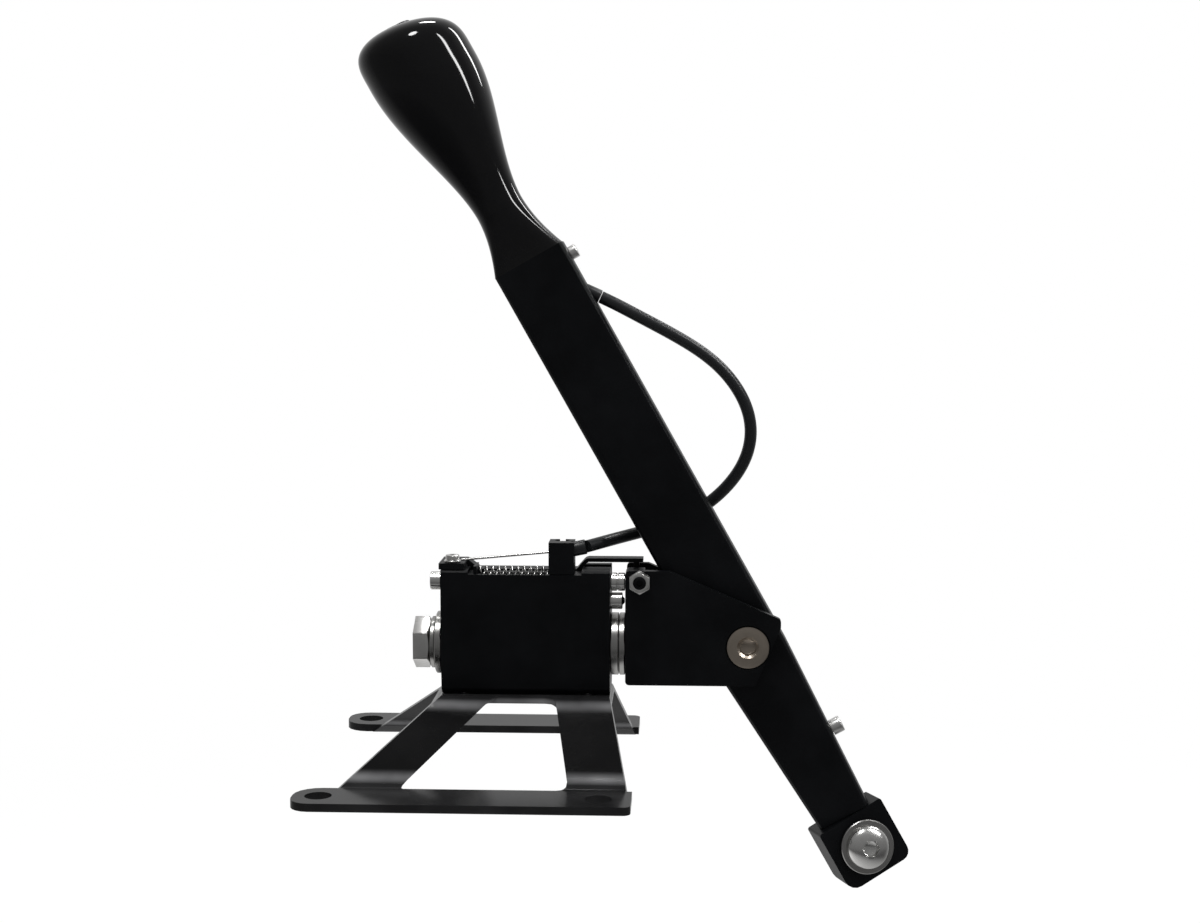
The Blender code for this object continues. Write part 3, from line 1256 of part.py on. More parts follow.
def release_in_lever(lever_body, button_body, rocker_body):
    """Button, push rod and spring in the knob, and the rocker that pulls the wire."""
    top = CROWN + BUTTON_PROUD
    pad_x = ROCKER_X - ROCKER_ARM * math.cos(ROCKER_RISE)
    pad_s = ROCKER_S + ROCKER_ARM * math.sin(ROCKER_RISE)
    rod_end = pad_s + ROCKER_PAD_R + GAP
    profile = [
        (0, top), (BUTTON_R - BUTTON_EDGE, top), (BUTTON_R, top - BUTTON_EDGE), (BUTTON_R, SKIRT),
        (PUSH_ROD_R, SKIRT), (PUSH_ROD_R, rod_end), (0, rod_end),
    ]
    turned("push_button", profile, Matrix.Translation((KNOB_AXIS, 0, 0)), STEEL, button_body, 20)
    room = GAP + BUTTON_SPRING_WIRE_R
    start = (KNOB_AXIS, 0, BUTTON_FLOOR + room)
    length = SKIRT - BUTTON_FLOOR - 2 * room
    coil = helix(start, length, BUTTON_SPRING_R, BUTTON_SPRING_TURNS, (1, 0, 0), (0, 1, 0), (0, 0, 1))
    tube("button_spring", coil, BUTTON_SPRING_WIRE_R, STEEL, lever_body, fineness=1)
    half = ROCKER_T / 2
    tip_x = ROCKER_WIRE_ARM * math.cos(ROCKER_WIRE_RISE)
    tip_s = ROCKER_WIRE_ARM * math.sin(ROCKER_WIRE_RISE)
    arm_x = pad_x - ROCKER_X
    arm_s = pad_s - ROCKER_S

    def disc(name, x, s, radius, finish=None):
        return rod(name, (x, -half, s), (x, half, s), radius, finish, rocker_body, sides=20)

    def web(name, x, s, width):
        side = Vector((-s, x)).normalized() * width
        corners = [side, -side, Vector((x, s)) - side, Vector((x, s)) + side]
        thin = half - GAP
        return plate(name, [tuple(corner) for corner in corners], -thin, thin, "XZ", None, rocker_body)

    rocker = disc("rocker", 0, 0, ROCKER_BOSS_R, BLACK)
    join(
        rocker, web("rocker_push_arm", arm_x, arm_s, ROCKER_ARM_W / 2),
        disc("rocker_pad", arm_x, arm_s, ROCKER_PAD_R),
        web("rocker_wire_arm", tip_x, tip_s, ROCKER_ARM_W / 2),
        disc("rocker_tip", tip_x, tip_s, ROCKER_PAD_R),
    )
    bore_start = (0, -ROCKER_T, 0)
    bore_end = (0, ROCKER_T, 0)
    cut(rocker, rod("rocker_bore", bore_start, bore_end, ROCKER_PIN_R + RUN, None, rocker_body, sides=16))
    rod(
        "rocker_pin", (ROCKER_X, -LEVER_HALF + 3 * GAP, ROCKER_S), (ROCKER_X, LEVER_HALF - GAP, ROCKER_S),
        ROCKER_PIN_R, STEEL, lever_body, sides=16,
    )
    turn = Matrix.Rotation(LEVER_TILT, 3, "Y")
    out = turn @ CABLE_DIR
    mouth = Vector((LEVER_FRONT, 0, CABLE_EXIT_S))
    inside = mouth - out * LEVER_FERRULE_IN
    outside = mouth + out * (CABLE_STANDOFF - GAP)
    collar = rod("lever_ferrule", inside, outside, LEVER_FERRULE_R, CABLE, lever_body, sides=24)
    bore_r = WIRE_R + 2 * GAP
    past = out * OVER
    bore = rod("lever_ferrule_bore", inside - past, mouth + past, bore_r, None, lever_body, sides=12)
    cut(collar, bore)


def clevis(lever_body, body):
    """The fork on the lever's foot: closed at the top and rear, open ahead and below."""
    half = CLEVIS_W / 2
    deep = CLEVIS_D / 2
    low = CLEVIS_TOP - CLEVIS_H
    outline = rounded(
        [
            (-half, CLEVIS_TOP, CLEVIS_EDGE_R), (-half, low, CLEVIS_HEEL_R),
            (half, low, CLEVIS_CORNER_R), (half, CLEVIS_TOP, CLEVIS_EDGE_R),
        ],
        4,
    )
    piece = plate("clevis", outline, -deep, deep, "XZ", BLACK, body)
    spigot_top = (0, 0, LEVER_END + CLEVIS_SPIGOT_L)
    join(piece, rod("clevis_spigot", (0, 0, CLEVIS_TOP - ROOT), spigot_top, SPIGOT_R, None, body))
    slot = CLEVIS_SLOT / 2
    bolt_s = CLEVIS_BOLT_S
    turn = Matrix.Rotation(-CLEVIS_TURN, 3, "Z")
    seat = turn @ Vector((SPIGOT_R - CLEVIS_DIMPLE_D, 0, 0))
    out = turn @ Vector((SPIGOT_R + OVER, 0, 0))
    lift = Vector((0, 0, CLEVIS_SCREW_S))
    cut(
        piece,
        box(
            "clevis_slot", (-half + CLEVIS_REAR_WALL, -slot, low - OVER),
            (half + OVER, slot, CLEVIS_TOP - CLEVIS_TOP_WALL), None, body,
        ),
        rod("clevis_bore", (0, -CLEVIS_D, bolt_s), (0, CLEVIS_D, bolt_s), CLEVIS_BOLT_R + GAP, None, body),
        rod("spigot_dimple", seat + lift, out + lift, CLEVIS_SCREW_R + 2 * GAP, None, body, sides=16),
    )
    washer_in = deep + GAP
    washer_out = washer_in + CLEVIS_WASHER_T
    seat_y = washer_out + GAP
    nut_out = seat_y + CLEVIS_NUT_T
    s = CLEVIS_BOLT_S
    place = Matrix.Translation((0, 0, s)) @ Matrix.Rotation(math.radians(90), 4, "X")
    angles = [CLEVIS_DOME * k / 4 for k in (4, 3, 2, 1)]
    dome = [(CLEVIS_HEAD_R * math.cos(a), seat_y + CLEVIS_HEAD_T * math.sin(a)) for a in angles]
    profile = [
        (0, dome[0][1]), *dome, (CLEVIS_HEAD_R, seat_y),
        (CLEVIS_BOLT_R, seat_y), (CLEVIS_BOLT_R, -nut_out - BOLT_PROUD), (0, -nut_out - BOLT_PROUD),
    ]
    bolt = turned("clevis_bolt", profile, place, STEEL, body)
    face = -seat_y - CLEVIS_HEAD_T
    cut(bolt, hexagon("clevis_socket", (0, face - ROOT, s), (0, face + SOCKET_D, s), SOCKET_AF, None, body))
    hole = CLEVIS_BOLT_R + GAP
    ring("clevis_washer_near", (0, -washer_out, s), (0, -washer_in, s), CLEVIS_WASHER_R, hole, STEEL, body)
    ring("clevis_washer_far", (0, washer_in, s), (0, washer_out, s), CLEVIS_WASHER_R, hole, STEEL, body)
    nut = hexagon("clevis_nut", (0, seat_y, s), (0, nut_out, s), CLEVIS_NUT_AF, STEEL, body)
    cut(nut, rod("clevis_nut_bore", (0, 0, s), (0, nut_out + OVER, s), hole, None, body))


def keep_place(parent):
    """Pieces modelled in the part's frame stay where they are under their joint's empty."""
    inverse = parent.matrix_world.inverted()
    for group in (PARTS, CUTTERS):
        for piece in group.objects:
            if piece.parent == parent and piece.type != "EMPTY":
                piece.matrix_parent_inverse = inverse


def main():
    tilt = (0, -LEVER_TILT, 0)
    yoke_axis = frame("gate_roll_axis", (0, 0, SHAFT_Z))
    lever_axis = frame("shift_pivot_axis", (PIVOT_X, 0, PIVOT_Z), tilt)
    latch_line = frame("latch_slide_line", (0, STRAP_Y, STRAP_LOW))
    button_line = frame("button_line", (0, 0, 0), parent=lever_axis)
    rocker_axis = frame("rocker_axis", (ROCKER_X, 0, ROCKER_S), parent=lever_axis)
    clevis_line = frame("clevis_line", (0, 0, 0), (0, 0, CLEVIS_TURN), lever_axis)
    base_bracket()
    base_screws()
    bearing_housing()
    shaft_bushes()
    gate_stops()
    cable_clamp()
    cable_outer()
    latch(latch_line)
    yoke(yoke_axis)
    shaft_and_washers(yoke_axis)
    ear_screw(yoke_axis)
    pivot_bolt(yoke_axis)
    keep_place(yoke_axis)
    keep_place(latch_line)
    lever(lever_axis)
    pivot_bushes(lever_axis)
    knob(lever_axis)
    lever_screws(lever_axis)
    release_in_lever(lever_axis, button_line, rocker_axis)
    clevis(lever_axis, clevis_line)
    bpy.context.view_layer.update()


main()
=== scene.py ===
"""Short shifter, dressed: machined black metal, bright hardware, a gloss grip and a black cable.

The file is laid out as an add-on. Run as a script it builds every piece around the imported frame.
Lengths are in metres, in the frame's own axes: +X ahead along the shaft, +Y away, +Z up.
"""

import json
import math
from collections import namedtuple

import bpy
from mathutils import Matrix, Vector

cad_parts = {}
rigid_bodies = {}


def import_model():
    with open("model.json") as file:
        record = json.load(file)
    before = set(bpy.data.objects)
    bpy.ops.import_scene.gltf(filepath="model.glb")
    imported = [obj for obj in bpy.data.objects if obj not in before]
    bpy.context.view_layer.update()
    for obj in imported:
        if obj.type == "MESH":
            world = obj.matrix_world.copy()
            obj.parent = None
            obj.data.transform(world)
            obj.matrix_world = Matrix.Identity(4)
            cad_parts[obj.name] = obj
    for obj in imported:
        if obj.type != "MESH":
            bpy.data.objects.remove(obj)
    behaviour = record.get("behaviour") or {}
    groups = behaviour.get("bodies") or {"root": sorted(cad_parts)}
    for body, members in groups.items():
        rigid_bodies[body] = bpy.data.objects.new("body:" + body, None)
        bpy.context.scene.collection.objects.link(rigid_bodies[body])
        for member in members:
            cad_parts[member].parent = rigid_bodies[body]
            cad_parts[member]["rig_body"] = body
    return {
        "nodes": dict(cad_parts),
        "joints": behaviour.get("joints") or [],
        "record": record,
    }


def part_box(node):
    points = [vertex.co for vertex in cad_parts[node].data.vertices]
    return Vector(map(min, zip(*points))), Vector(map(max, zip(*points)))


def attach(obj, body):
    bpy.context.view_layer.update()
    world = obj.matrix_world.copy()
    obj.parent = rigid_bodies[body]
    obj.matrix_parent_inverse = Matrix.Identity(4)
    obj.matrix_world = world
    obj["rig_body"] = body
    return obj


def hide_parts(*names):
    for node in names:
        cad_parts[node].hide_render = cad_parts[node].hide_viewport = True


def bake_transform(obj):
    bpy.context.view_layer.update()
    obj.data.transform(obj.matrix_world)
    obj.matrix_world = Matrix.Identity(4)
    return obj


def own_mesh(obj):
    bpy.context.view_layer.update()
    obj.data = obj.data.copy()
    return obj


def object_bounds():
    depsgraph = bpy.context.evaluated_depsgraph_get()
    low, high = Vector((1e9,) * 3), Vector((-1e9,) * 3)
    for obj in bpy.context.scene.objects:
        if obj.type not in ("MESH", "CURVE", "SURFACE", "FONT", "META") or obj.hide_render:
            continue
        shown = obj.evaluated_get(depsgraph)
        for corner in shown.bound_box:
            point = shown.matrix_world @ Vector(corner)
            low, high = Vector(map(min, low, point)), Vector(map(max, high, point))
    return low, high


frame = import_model()
CAD_BOX = [list(corner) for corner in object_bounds()]

bl_info = {
    "name": "Short shifter",
    "version": (1, 0, 0),
    "blender": (4, 5, 0),
    "location": "View3D > Sidebar > Shifter",
    "description": "Builds the finished look of a short shifter around its packed frame",
    "category": "Add Mesh",
}

DIGITS = 7
WELD = 0.000001


# What the frame gives


def joint(name):
    return next(item for item in frame["joints"] if item["name"] == name)


def body_of(node):
    return frame["nodes"][node]["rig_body"]


def slot_of(node):
    parts = frame["record"]["subparts"]
    return next(part["material_slot"] for part in parts if part["node"] == node)


def middle_of(node):
    low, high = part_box(node)
    return (low + high) / 2


def span_of(node, place):
    """The lowest and highest reach of a node along the Z axis of a place."""
    inverse = place.inverted()
    heights = [(inverse @ vertex.co).z for vertex in frame["nodes"][node].data.vertices]
    return min(heights), max(heights)


def seat_of(node, axis, centred_on=None):
    """The place of a node's low end along an axis, and how far the node reaches from there."""
    low, high = span_of(node, axis)
    centre = axis.inverted() @ middle_of(centred_on or node)
    return axis @ Matrix.Translation((centre.x, centre.y, low)), high - low


def along(start, end):
    """The matrix that puts local Z along the line, with its origin at start."""
    start = Vector(start)
    line = Vector(end) - start
    return Matrix.Translation(start) @ line.to_track_quat("Z", "Y").to_matrix().to_4x4()


PIVOT = Vector(joint("shift_pivot")["pos_m"])
LEVER_UP = -Vector(joint("button_push")["axis"])
LEVER_TILT = math.atan2(-LEVER_UP.x, LEVER_UP.z)
SHAFT_Z = joint("gate_roll")["pos_m"][2]
PRESS = joint("latch_slide")["range_m"][1]
CLEVIS_TURN = math.radians(14.0)
LEVER_PLACE = Matrix.Translation(PIVOT) @ Matrix.Rotation(-LEVER_TILT, 4, "Y")
CLEVIS_PLACE = LEVER_PLACE @ Matrix.Rotation(CLEVIS_TURN, 4, "Z")

# Axes of the turned pieces, each with local Z along the piece
UP = Matrix.Identity(4)
DOWN = Matrix.Rotation(math.radians(180), 4, "X")
AWAY = Matrix.Rotation(math.radians(-90), 4, "X")
TOWARD = Matrix.Rotation(math.radians(90), 4, "X")
AHEAD = along((0, 0, SHAFT_Z), (1, 0, SHAFT_Z))
PIVOT_AWAY = Matrix.Translation(PIVOT) @ AWAY
CLEVIS_AWAY = CLEVIS_PLACE @ AWAY
CLEVIS_TOWARD = CLEVIS_PLACE @ TOWARD
LEVER_AHEAD = LEVER_PLACE @ Matrix.Rotation(math.radians(90), 4, "Y")


# Sizes and colours that a user would change


def length_property(label, about, value, low=0.0):
    return bpy.props.FloatProperty(
        name=label, description=about, default=value, min=low, subtype="DISTANCE", unit="LENGTH", precision=5,
    )


def count_property(label, about, value, low=3):
    return bpy.props.IntProperty(name=label, description=about, default=value, min=low)


def colour_property(label, about, value):
    return bpy.props.FloatVectorProperty(
        name=label, description=about, default=value, min=0.0, max=1.0, size=3, subtype="COLOR",
    )


class ShifterSizes(bpy.types.PropertyGroup):
    """Sizes of the fine detail on top of the frame's own."""

    edge: length_property("Machined edge", "Rounding of the black machined edges", 0.0004)
    sheet_edge: length_property("Sheet edge", "Rounding of the base's cut edges", 0.0005)
    steel_edge: length_property("Steel edge", "Chamfer of washers, bolts and nuts", 0.0003)
    steps: count_property("Turned steps", "Steps round a turned piece", 96, 24)
    lever_top: length_property("Lever top", "Height of the lever's top face above the pivot", 0.1780)
    lever_rear: length_property("Lever rear", "Reach of the lever behind its pivot line", 0.0162)
    lever_front: length_property("Lever front", "Reach of the lever ahead of its pivot line", 0.0144)
    lever_half: length_property("Lever half", "Half the lever's thickness", 0.0075)
    grip_axis: length_property("Grip axis", "Offset of the grip's centre line", -0.0012, -0.01)
    neck_radius: length_property("Neck radius", "Radius of the grip's waist", 0.0099)
    neck_height: length_property("Neck height", "Height of the waist above the lever", 0.0240)
    grip_radius: length_property("Grip radius", "Largest radius of the grip", 0.0220)
    widest: length_property("Widest height", "Height at which the grip is widest", 0.0850)
    grip_height: length_property("Grip height", "Height of the crown above the lever", 0.1060)
    rim: length_property("Crown rim", "Height over which the crown rounds off", 0.0170)
    button_radius: length_property("Button radius", "Radius of the thumb button", 0.0055)
    cable_radius: length_property("Cable radius", "Radius of the cable's outer", 0.0025)
    spring_radius: length_property("Spring radius", "Middle radius of the latch spring", 0.0020)
    spring_wire: length_property("Spring wire", "Radius of the latch spring's wire", 0.0003)
    floor_drop: length_property("Floor drop", "Depth of the floor below the clevis", 0.0900)


class ShifterColours(bpy.types.PropertyGroup):
    """Colours of the finishes."""

    anodised: colour_property("Anodised black", "Machined black parts", (0.0020, 0.0022, 0.0026))
    coat: colour_property("Powder coat", "The bent base", (0.0022, 0.0022, 0.0024))
    # Painted highlight: the pale colour that the coat takes along the base's bends, standing in for the light
    # that the bends catch
    painted_bend_highlight: colour_property("Painted bend highlight", "Painted highlight on the coat along the bends", (0.19, 0.19, 0.195))
    grip: colour_property("Grip", "The gloss grip", (0.0016, 0.0016, 0.0018))
    steel: colour_property("Stainless steel", "Bolts and nuts", (0.74, 0.735, 0.72))
    washer: colour_property("Washer steel", "The duller washers", (0.40, 0.395, 0.385))
    blackened: colour_property("Blackened steel", "The thumb button and the ear screw", (0.020, 0.020, 0.022))
    warm: colour_property("Pivot head", "The pivot bolt's brushed head", (0.44, 0.385, 0.325))
    bronze: colour_property("Bronze", "Plain bushes", (0.42, 0.27, 0.11))
    cable: colour_property("Cable", "The cable's outer", (0.0045, 0.0050, 0.0058))
    floor: colour_property("Floor", "The plain floor", (0.93, 0.93, 0.93))


def sizes():
    return bpy.context.scene.shifter_sizes


def colours():
    return bpy.context.scene.shifter_colours


# Node trees


class Field:
    """A value that changes over a surface. Sums and products of fields add Math nodes."""

    def __init__(self, tree, socket):
        self.tree = tree
        self.socket = socket

    def beside(self, output):
        """Another output of the node that this value comes from."""
        return Field(self.tree, self.socket.node.outputs[output])

    def math(self, operation, *values):
        node = self.tree.nodes.new("ShaderNodeMath")
        node.operation = operation
        for slot, value in zip(node.inputs, values):
            if isinstance(value, Field):
                self.tree.links.new(value.socket, slot)
            else:
                slot.default_value = value
        return Field(self.tree, node.outputs[0])

    def __add__(self, other):
        return self.math("ADD", self, other)

    def __radd__(self, other):
        return self.math("ADD", other, self)

    def __sub__(self, other):
        return self.math("SUBTRACT", self, other)

    def __rsub__(self, other):
        return self.math("SUBTRACT", other, self)

    def __mul__(self, other):
        return self.math("MULTIPLY", self, other)

    def __rmul__(self, other):
        return self.math("MULTIPLY", other, self)

    def __truediv__(self, other):
        return self.math("DIVIDE", self, other)

    def __rtruediv__(self, other):
        return self.math("DIVIDE", other, self)

    def __pow__(self, other):
        return self.math("POWER", self, other)

    def at_least(self, other):
        return self.math("MAXIMUM", self, other)

    def at_most(self, other):
        return self.math("MINIMUM", self, other)


class Nodes:
    """A node tree being built, with one method that adds any node but a Math node."""

    def __init__(self, tree):
        self.tree = tree

    def add(self, kind, settings=None, sockets=None, output=0):
        node = self.tree.nodes.new(kind)
        for key, value in (settings or {}).items():
            if key == "stops":
                while len(node.color_ramp.elements) < len(value):
                    node.color_ramp.elements.new(0.5)
                for element, (place, shade) in zip(node.color_ramp.elements, value):
                    element.position = place
                    element.color = (shade, shade, shade, 1)
            else:
                setattr(node, key, value)
        for key, value in (sockets or {}).items():
            if isinstance(value, Field):
                self.tree.links.new(value.socket, node.inputs[key])
            else:
                node.inputs[key].default_value = value
        return Field(self.tree, node.outputs[output])

    def part(self, vector, axis):
        return self.add("ShaderNodeSeparateXYZ", {}, {"Vector": vector}, axis)

    def rays(self):
        """The camera's rays, and those that mirror or pass through a surface."""
        seen = self.add("ShaderNodeLightPath", output="Is Camera Ray")
        mirrored = seen.beside("Is Glossy Ray") + seen.beside("Is Transmission Ray")
        return seen, mirrored.at_most(1.0)


class Finish(Nodes):
    """A material being made."""

    def __init__(self, name):
        self.material = bpy.data.materials.new(name)
        self.material.use_nodes = True
        super().__init__(self.material.node_tree)
        self.shader = self.tree.nodes["Principled BSDF"]

    def place(self):
        return self.add("ShaderNodeTexCoord", output="Object")

    def turned_place(self, matrix):
        """Object coordinates seen from a piece's own place, with its axis along Z."""
        sockets = {
            "Vector": self.place(), "Location": matrix.translation, "Rotation": matrix.to_euler(),
        }
        return self.add("ShaderNodeMapping", {"vector_type": "TEXTURE"}, sockets)

    def noise(self, vector, scale, detail=2.0, rough=0.5):
        sockets = {"Vector": vector, "Scale": scale, "Detail": detail, "Roughness": rough}
        return self.add("ShaderNodeTexNoise", {}, sockets, "Fac")

    def ramp(self, factor, stops):
        return self.add("ShaderNodeValToRGB", {"stops": stops}, {"Fac": factor})

    def mix(self, factor, first, second):
        sockets = {0: factor, 6: (*first, 1), 7: (*second, 1)}
        return self.add("ShaderNodeMix", {"data_type": "RGBA"}, sockets, 2)

    def shades(self, factor, base, first=1.0, last=1.0):
        """A colour that runs between two strengths of one base colour."""
        return self.mix(factor, *[[min(1.0, part * strength) for part in base] for strength in (first, last)])

    def bump(self, height, distance, strength=1.0):
        return self.add("ShaderNodeBump", {}, {"Height": height, "Distance": distance, "Strength": strength})

    def surface(self, **sockets):
        """Sets or links the shader's sockets; spaces in their names are written as underscores."""
        for key, value in sockets.items():
            slot = self.shader.inputs[key.replace("_", " ")]
            if isinstance(value, Field):
                self.tree.links.new(value.socket, slot)
            elif slot.type == "RGBA":
                slot.default_value = (*value, 1)
            else:
                slot.default_value = value
        return self.material


def made_once(builder):
    """A finish that several pieces share is made the first time it is asked for."""
    made = {}

    def ask():
        if "it" not in made:
            made["it"] = builder()
        return made["it"]

    return ask


# Finishes. The scale of a noise counts its grains along one metre, more or less.


@made_once
def anodised_black():
    """Machined aluminium, blasted and anodised black."""
    work = Finish("anodised_black")
    where = work.place()
    blast = work.noise(where, scale=2600.0, detail=3.0, rough=0.6)
    patch = work.noise(where, scale=45.0, detail=3.0, rough=0.55)
    cloud = work.ramp(patch, [(0.35, 0.0), (0.70, 1.0)])
    return work.surface(
        Base_Color=work.shades(cloud, colours().anodised, last=1.7),
        Roughness=0.30 + 0.10 * patch + 0.04 * blast, Specular_IOR_Level=0.08,
        Normal=work.bump(blast, distance=0.00002, strength=0.5),
    )


# The base's legs in height, how far their bends roll in the light, and the bands near each bend where a
# painted highlight lightens the coat
LEG_MIDDLE = 0.0175
LEG_HALF = 0.0130
LEG_ROLL = 0.0017
HIGHLIGHT_PEAK = 0.74
HIGHLIGHT_WIDTH = 0.31
HIGHLIGHT_SHARE = 0.95
PEEL_HEIGHT = 0.000008


@made_once
def powder_coat():
    """The base's sprayed coat, with its slight orange peel, the soft roll of the legs into their bends, and a
    painted highlight along the bends.
    """
    work = Finish("powder_coat")
    where = work.place()
    peel = work.noise(where, scale=900.0)
    patch = work.noise(where, scale=60.0)
    up_leg = ((work.part(where, "Z") - LEG_MIDDLE) * (1 / LEG_HALF)).at_least(-1.0).at_most(1.0)
    roll = up_leg * up_leg * up_leg * up_leg * up_leg * -LEG_ROLL
    # Painted highlight: bands near the top and bottom of each leg are lightened toward the pale colour where
    # the bends catch light; the small patch share is random tone
    from_peak = (up_leg * up_leg - HIGHLIGHT_PEAK) * (1 / HIGHLIGHT_WIDTH)
    painted_bend_highlight = (1.0 - from_peak * from_peak).at_least(0.0) ** 2
    share = 0.015 * patch + painted_bend_highlight * patch * HIGHLIGHT_SHARE
    return work.surface(
        Base_Color=work.mix(share, colours().coat, colours().painted_bend_highlight),
        Roughness=0.15 + 0.07 * patch, Specular_IOR_Level=0.11,
        Normal=work.bump(roll + peel * PEEL_HEIGHT, distance=1.0),
    )


# The height over which the grip's root goes from satin to polished
ROOT_SATIN = 0.016


@made_once
def gloss_grip():
    """Polished black, nearly without texture, and satin at the root where it isn't polished."""
    work = Finish("gloss_grip")
    where = work.place()
    ripple = work.noise(where, scale=38.0, rough=0.4)
    haze = work.noise(where, scale=300.0, detail=3.0, rough=0.6)
    height = work.part(work.turned_place(LEVER_PLACE), "Z")
    root = ((sizes().lever_top + ROOT_SATIN - height) * (1 / ROOT_SATIN)).at_least(0.0).at_most(1.0)
    return work.surface(
        Base_Color=work.shades(haze, colours().grip, last=1.5),
        Roughness=0.04 + 0.05 * haze + 0.26 * root, Specular_IOR_Level=0.26,
        Normal=work.bump(ripple, distance=0.00002, strength=0.3),
    )


def turned_steel(name, matrix, base=None, rough=0.20):
    """Bright steel with the rings that a lathe leaves about the piece's own axis."""
    work = Finish(name)
    where = work.turned_place(matrix)
    across = work.part(where, "X")
    upward = across.beside("Y")
    radius = (across * across + upward * upward) ** 0.5
    rings = work.add(
        "ShaderNodeTexNoise", {"noise_dimensions": "1D"}, {"W": radius * 3200.0, "Scale": 1.0},
    )
    cloud = work.noise(where, scale=220.0, detail=3.0, rough=0.6)
    return work.surface(
        Base_Color=work.shades(cloud, base or colours().steel, first=0.86),
        Metallic=1.0, Roughness=rough + 0.12 * rings + 0.06 * cloud,
        Normal=work.bump(rings, distance=0.00003, strength=0.35),
    )


@made_once
def plain_steel():
    """Bright zinc or stainless hardware, drawn along its length."""
    work = Finish("bright_steel")
    drawn = work.add("ShaderNodeMapping", {}, {"Vector": work.place(), "Scale": (1.0, 1.0, 6.0)})
    grain = work.noise(drawn, scale=500.0, detail=3.0, rough=0.6)
    return work.surface(
        Base_Color=work.shades(grain, colours().steel, first=0.82),
        Metallic=1.0, Roughness=0.18 + 0.16 * grain,
        Normal=work.bump(grain, distance=0.00002, strength=0.3),
    )


@made_once
def bush_bronze():
    """Sintered bearing bronze."""
    work = Finish("bush_bronze")
    grain = work.noise(work.place(), scale=700.0, detail=3.0, rough=0.6)
    return work.surface(
        Base_Color=work.shades(grain, colours().bronze, first=0.7),
        Metallic=1.0, Roughness=0.30 + 0.2 * grain,
        Normal=work.bump(grain, distance=0.00003, strength=0.4),
    )


@made_once
def cable_plastic():
    """The smooth black outer of a control cable."""
    work = Finish("cable_plastic")
    where = work.place()
    skin = work.noise(where, scale=1500.0)
    patch = work.noise(where, scale=70.0)
    return work.surface(
        Base_Color=work.shades(patch, colours().cable, last=1.6),
        Roughness=0.30 + 0.12 * patch, Specular_IOR_Level=0.35,
        Normal=work.bump(skin, distance=0.00002, strength=0.5),
    )


# Modelling steps


def alone(piece=None):
    """Leaves edit mode and deselects everything, then picks the piece."""
    if bpy.context.object and bpy.context.object.mode != "OBJECT":
        bpy.ops.object.mode_set(mode="OBJECT")
    bpy.ops.object.select_all(action="DESELECT")
    if piece:
        piece.select_set(True)
        bpy.context.view_layer.objects.active = piece


def modify(piece, kind, **settings):
    """Adds a modifier and applies it."""
    alone(piece)
    step = piece.modifiers.new(kind.lower(), kind)
    for key, value in settings.items():
        setattr(step, key, value)
    bpy.ops.object.modifier_apply(modifier=step.name)
    return piece


def soften(piece, width, degrees):
    """A fine rounding of a turned or milled piece's sharp edges."""
    angle = math.radians(degrees)
    return modify(piece, "BEVEL", width=width, segments=2, limit_method="ANGLE", angle_limit=angle)


def carve(piece, tool, operation="DIFFERENCE"):
    """A boolean step with a tool that is thrown away."""
    modify(piece, "BOOLEAN", object=tool, operation=operation, solver="EXACT")
    bpy.data.objects.remove(tool, do_unlink=True)
    return piece


def rest(piece, matrix):
    """Puts a piece modelled at the origin in its place, and its place in its mesh."""
    piece.matrix_world = matrix
    alone(piece)
    bpy.ops.object.transform_apply(location=True, rotation=True, scale=True)
    return piece


def smooth(piece, degrees=35.0):
    alone(piece)
    bpy.ops.object.shade_smooth_by_angle(angle=math.radians(degrees))
    return piece


def paint(piece, name, finish):
    piece.name = name
    piece.data.name = name
    piece.data.materials.clear()
    piece.data.materials.append(finish)


def dress(piece, name, finish, node):
    """Names a finished piece, gives it its material, and lets it move with a node and stand for it."""
    paint(piece, name, finish)
    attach(piece, body_of(node))
    slot_of(node)
    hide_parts(node)
    return piece


def edged(node, name, finish, width):
    """A copy of a machined node with clean flat faces and rounded edges."""
    mesh = frame["nodes"][node].data.copy()
    piece = bpy.data.objects.new(name, mesh)
    bpy.context.scene.collection.objects.link(piece)
    alone(piece)
    bpy.ops.object.mode_set(mode="EDIT")
    bpy.ops.mesh.select_all(action="SELECT")
    bpy.ops.mesh.remove_doubles(threshold=2 * WELD)
    bpy.ops.mesh.dissolve_limited(angle_limit=math.radians(1.0))
    bpy.ops.object.mode_set(mode="OBJECT")
    bpy.ops.mesh.customdata_custom_splitnormals_clear()
    modify(
        piece, "BEVEL", width=width, segments=3, limit_method="ANGLE", angle_limit=math.radians(30.0),
        miter_outer="MITER_ARC", use_clamp_overlap=True,
    )
    smooth(piece, 40.0)
    modify(piece, "WEIGHTED_NORMAL", keep_sharp=True, weight=80)
    return dress(piece, name, finish, node)


def spun(profile, steps=None, closed=False):
    """A turned shape about Z: one vertex extruded along the half outline, then spun."""
    alone()
    bpy.ops.mesh.primitive_plane_add(size=0.001)
    piece = bpy.context.object
    bpy.ops.object.mode_set(mode="EDIT")
    bpy.ops.mesh.merge(type="CENTER")
    bpy.ops.transform.translate(value=(profile[0][0], 0, profile[0][1]))
    points = list(profile) + ([profile[0]] if closed else [])
    for before, after in zip(points, points[1:]):
        step = (after[0] - before[0], 0, after[1] - before[1])
        bpy.ops.mesh.extrude_region_move(TRANSFORM_OT_translate={"value": step})
    bpy.ops.mesh.select_all(action="SELECT")
    bpy.ops.mesh.spin(steps=steps or sizes().steps, angle=math.tau, center=(0, 0, 0), axis=(0, 0, 1))
    bpy.ops.mesh.select_all(action="SELECT")
    bpy.ops.mesh.remove_doubles(threshold=WELD)
    bpy.ops.mesh.normals_make_consistent(inside=False)
    bpy.ops.object.mode_set(mode="OBJECT")
    return piece


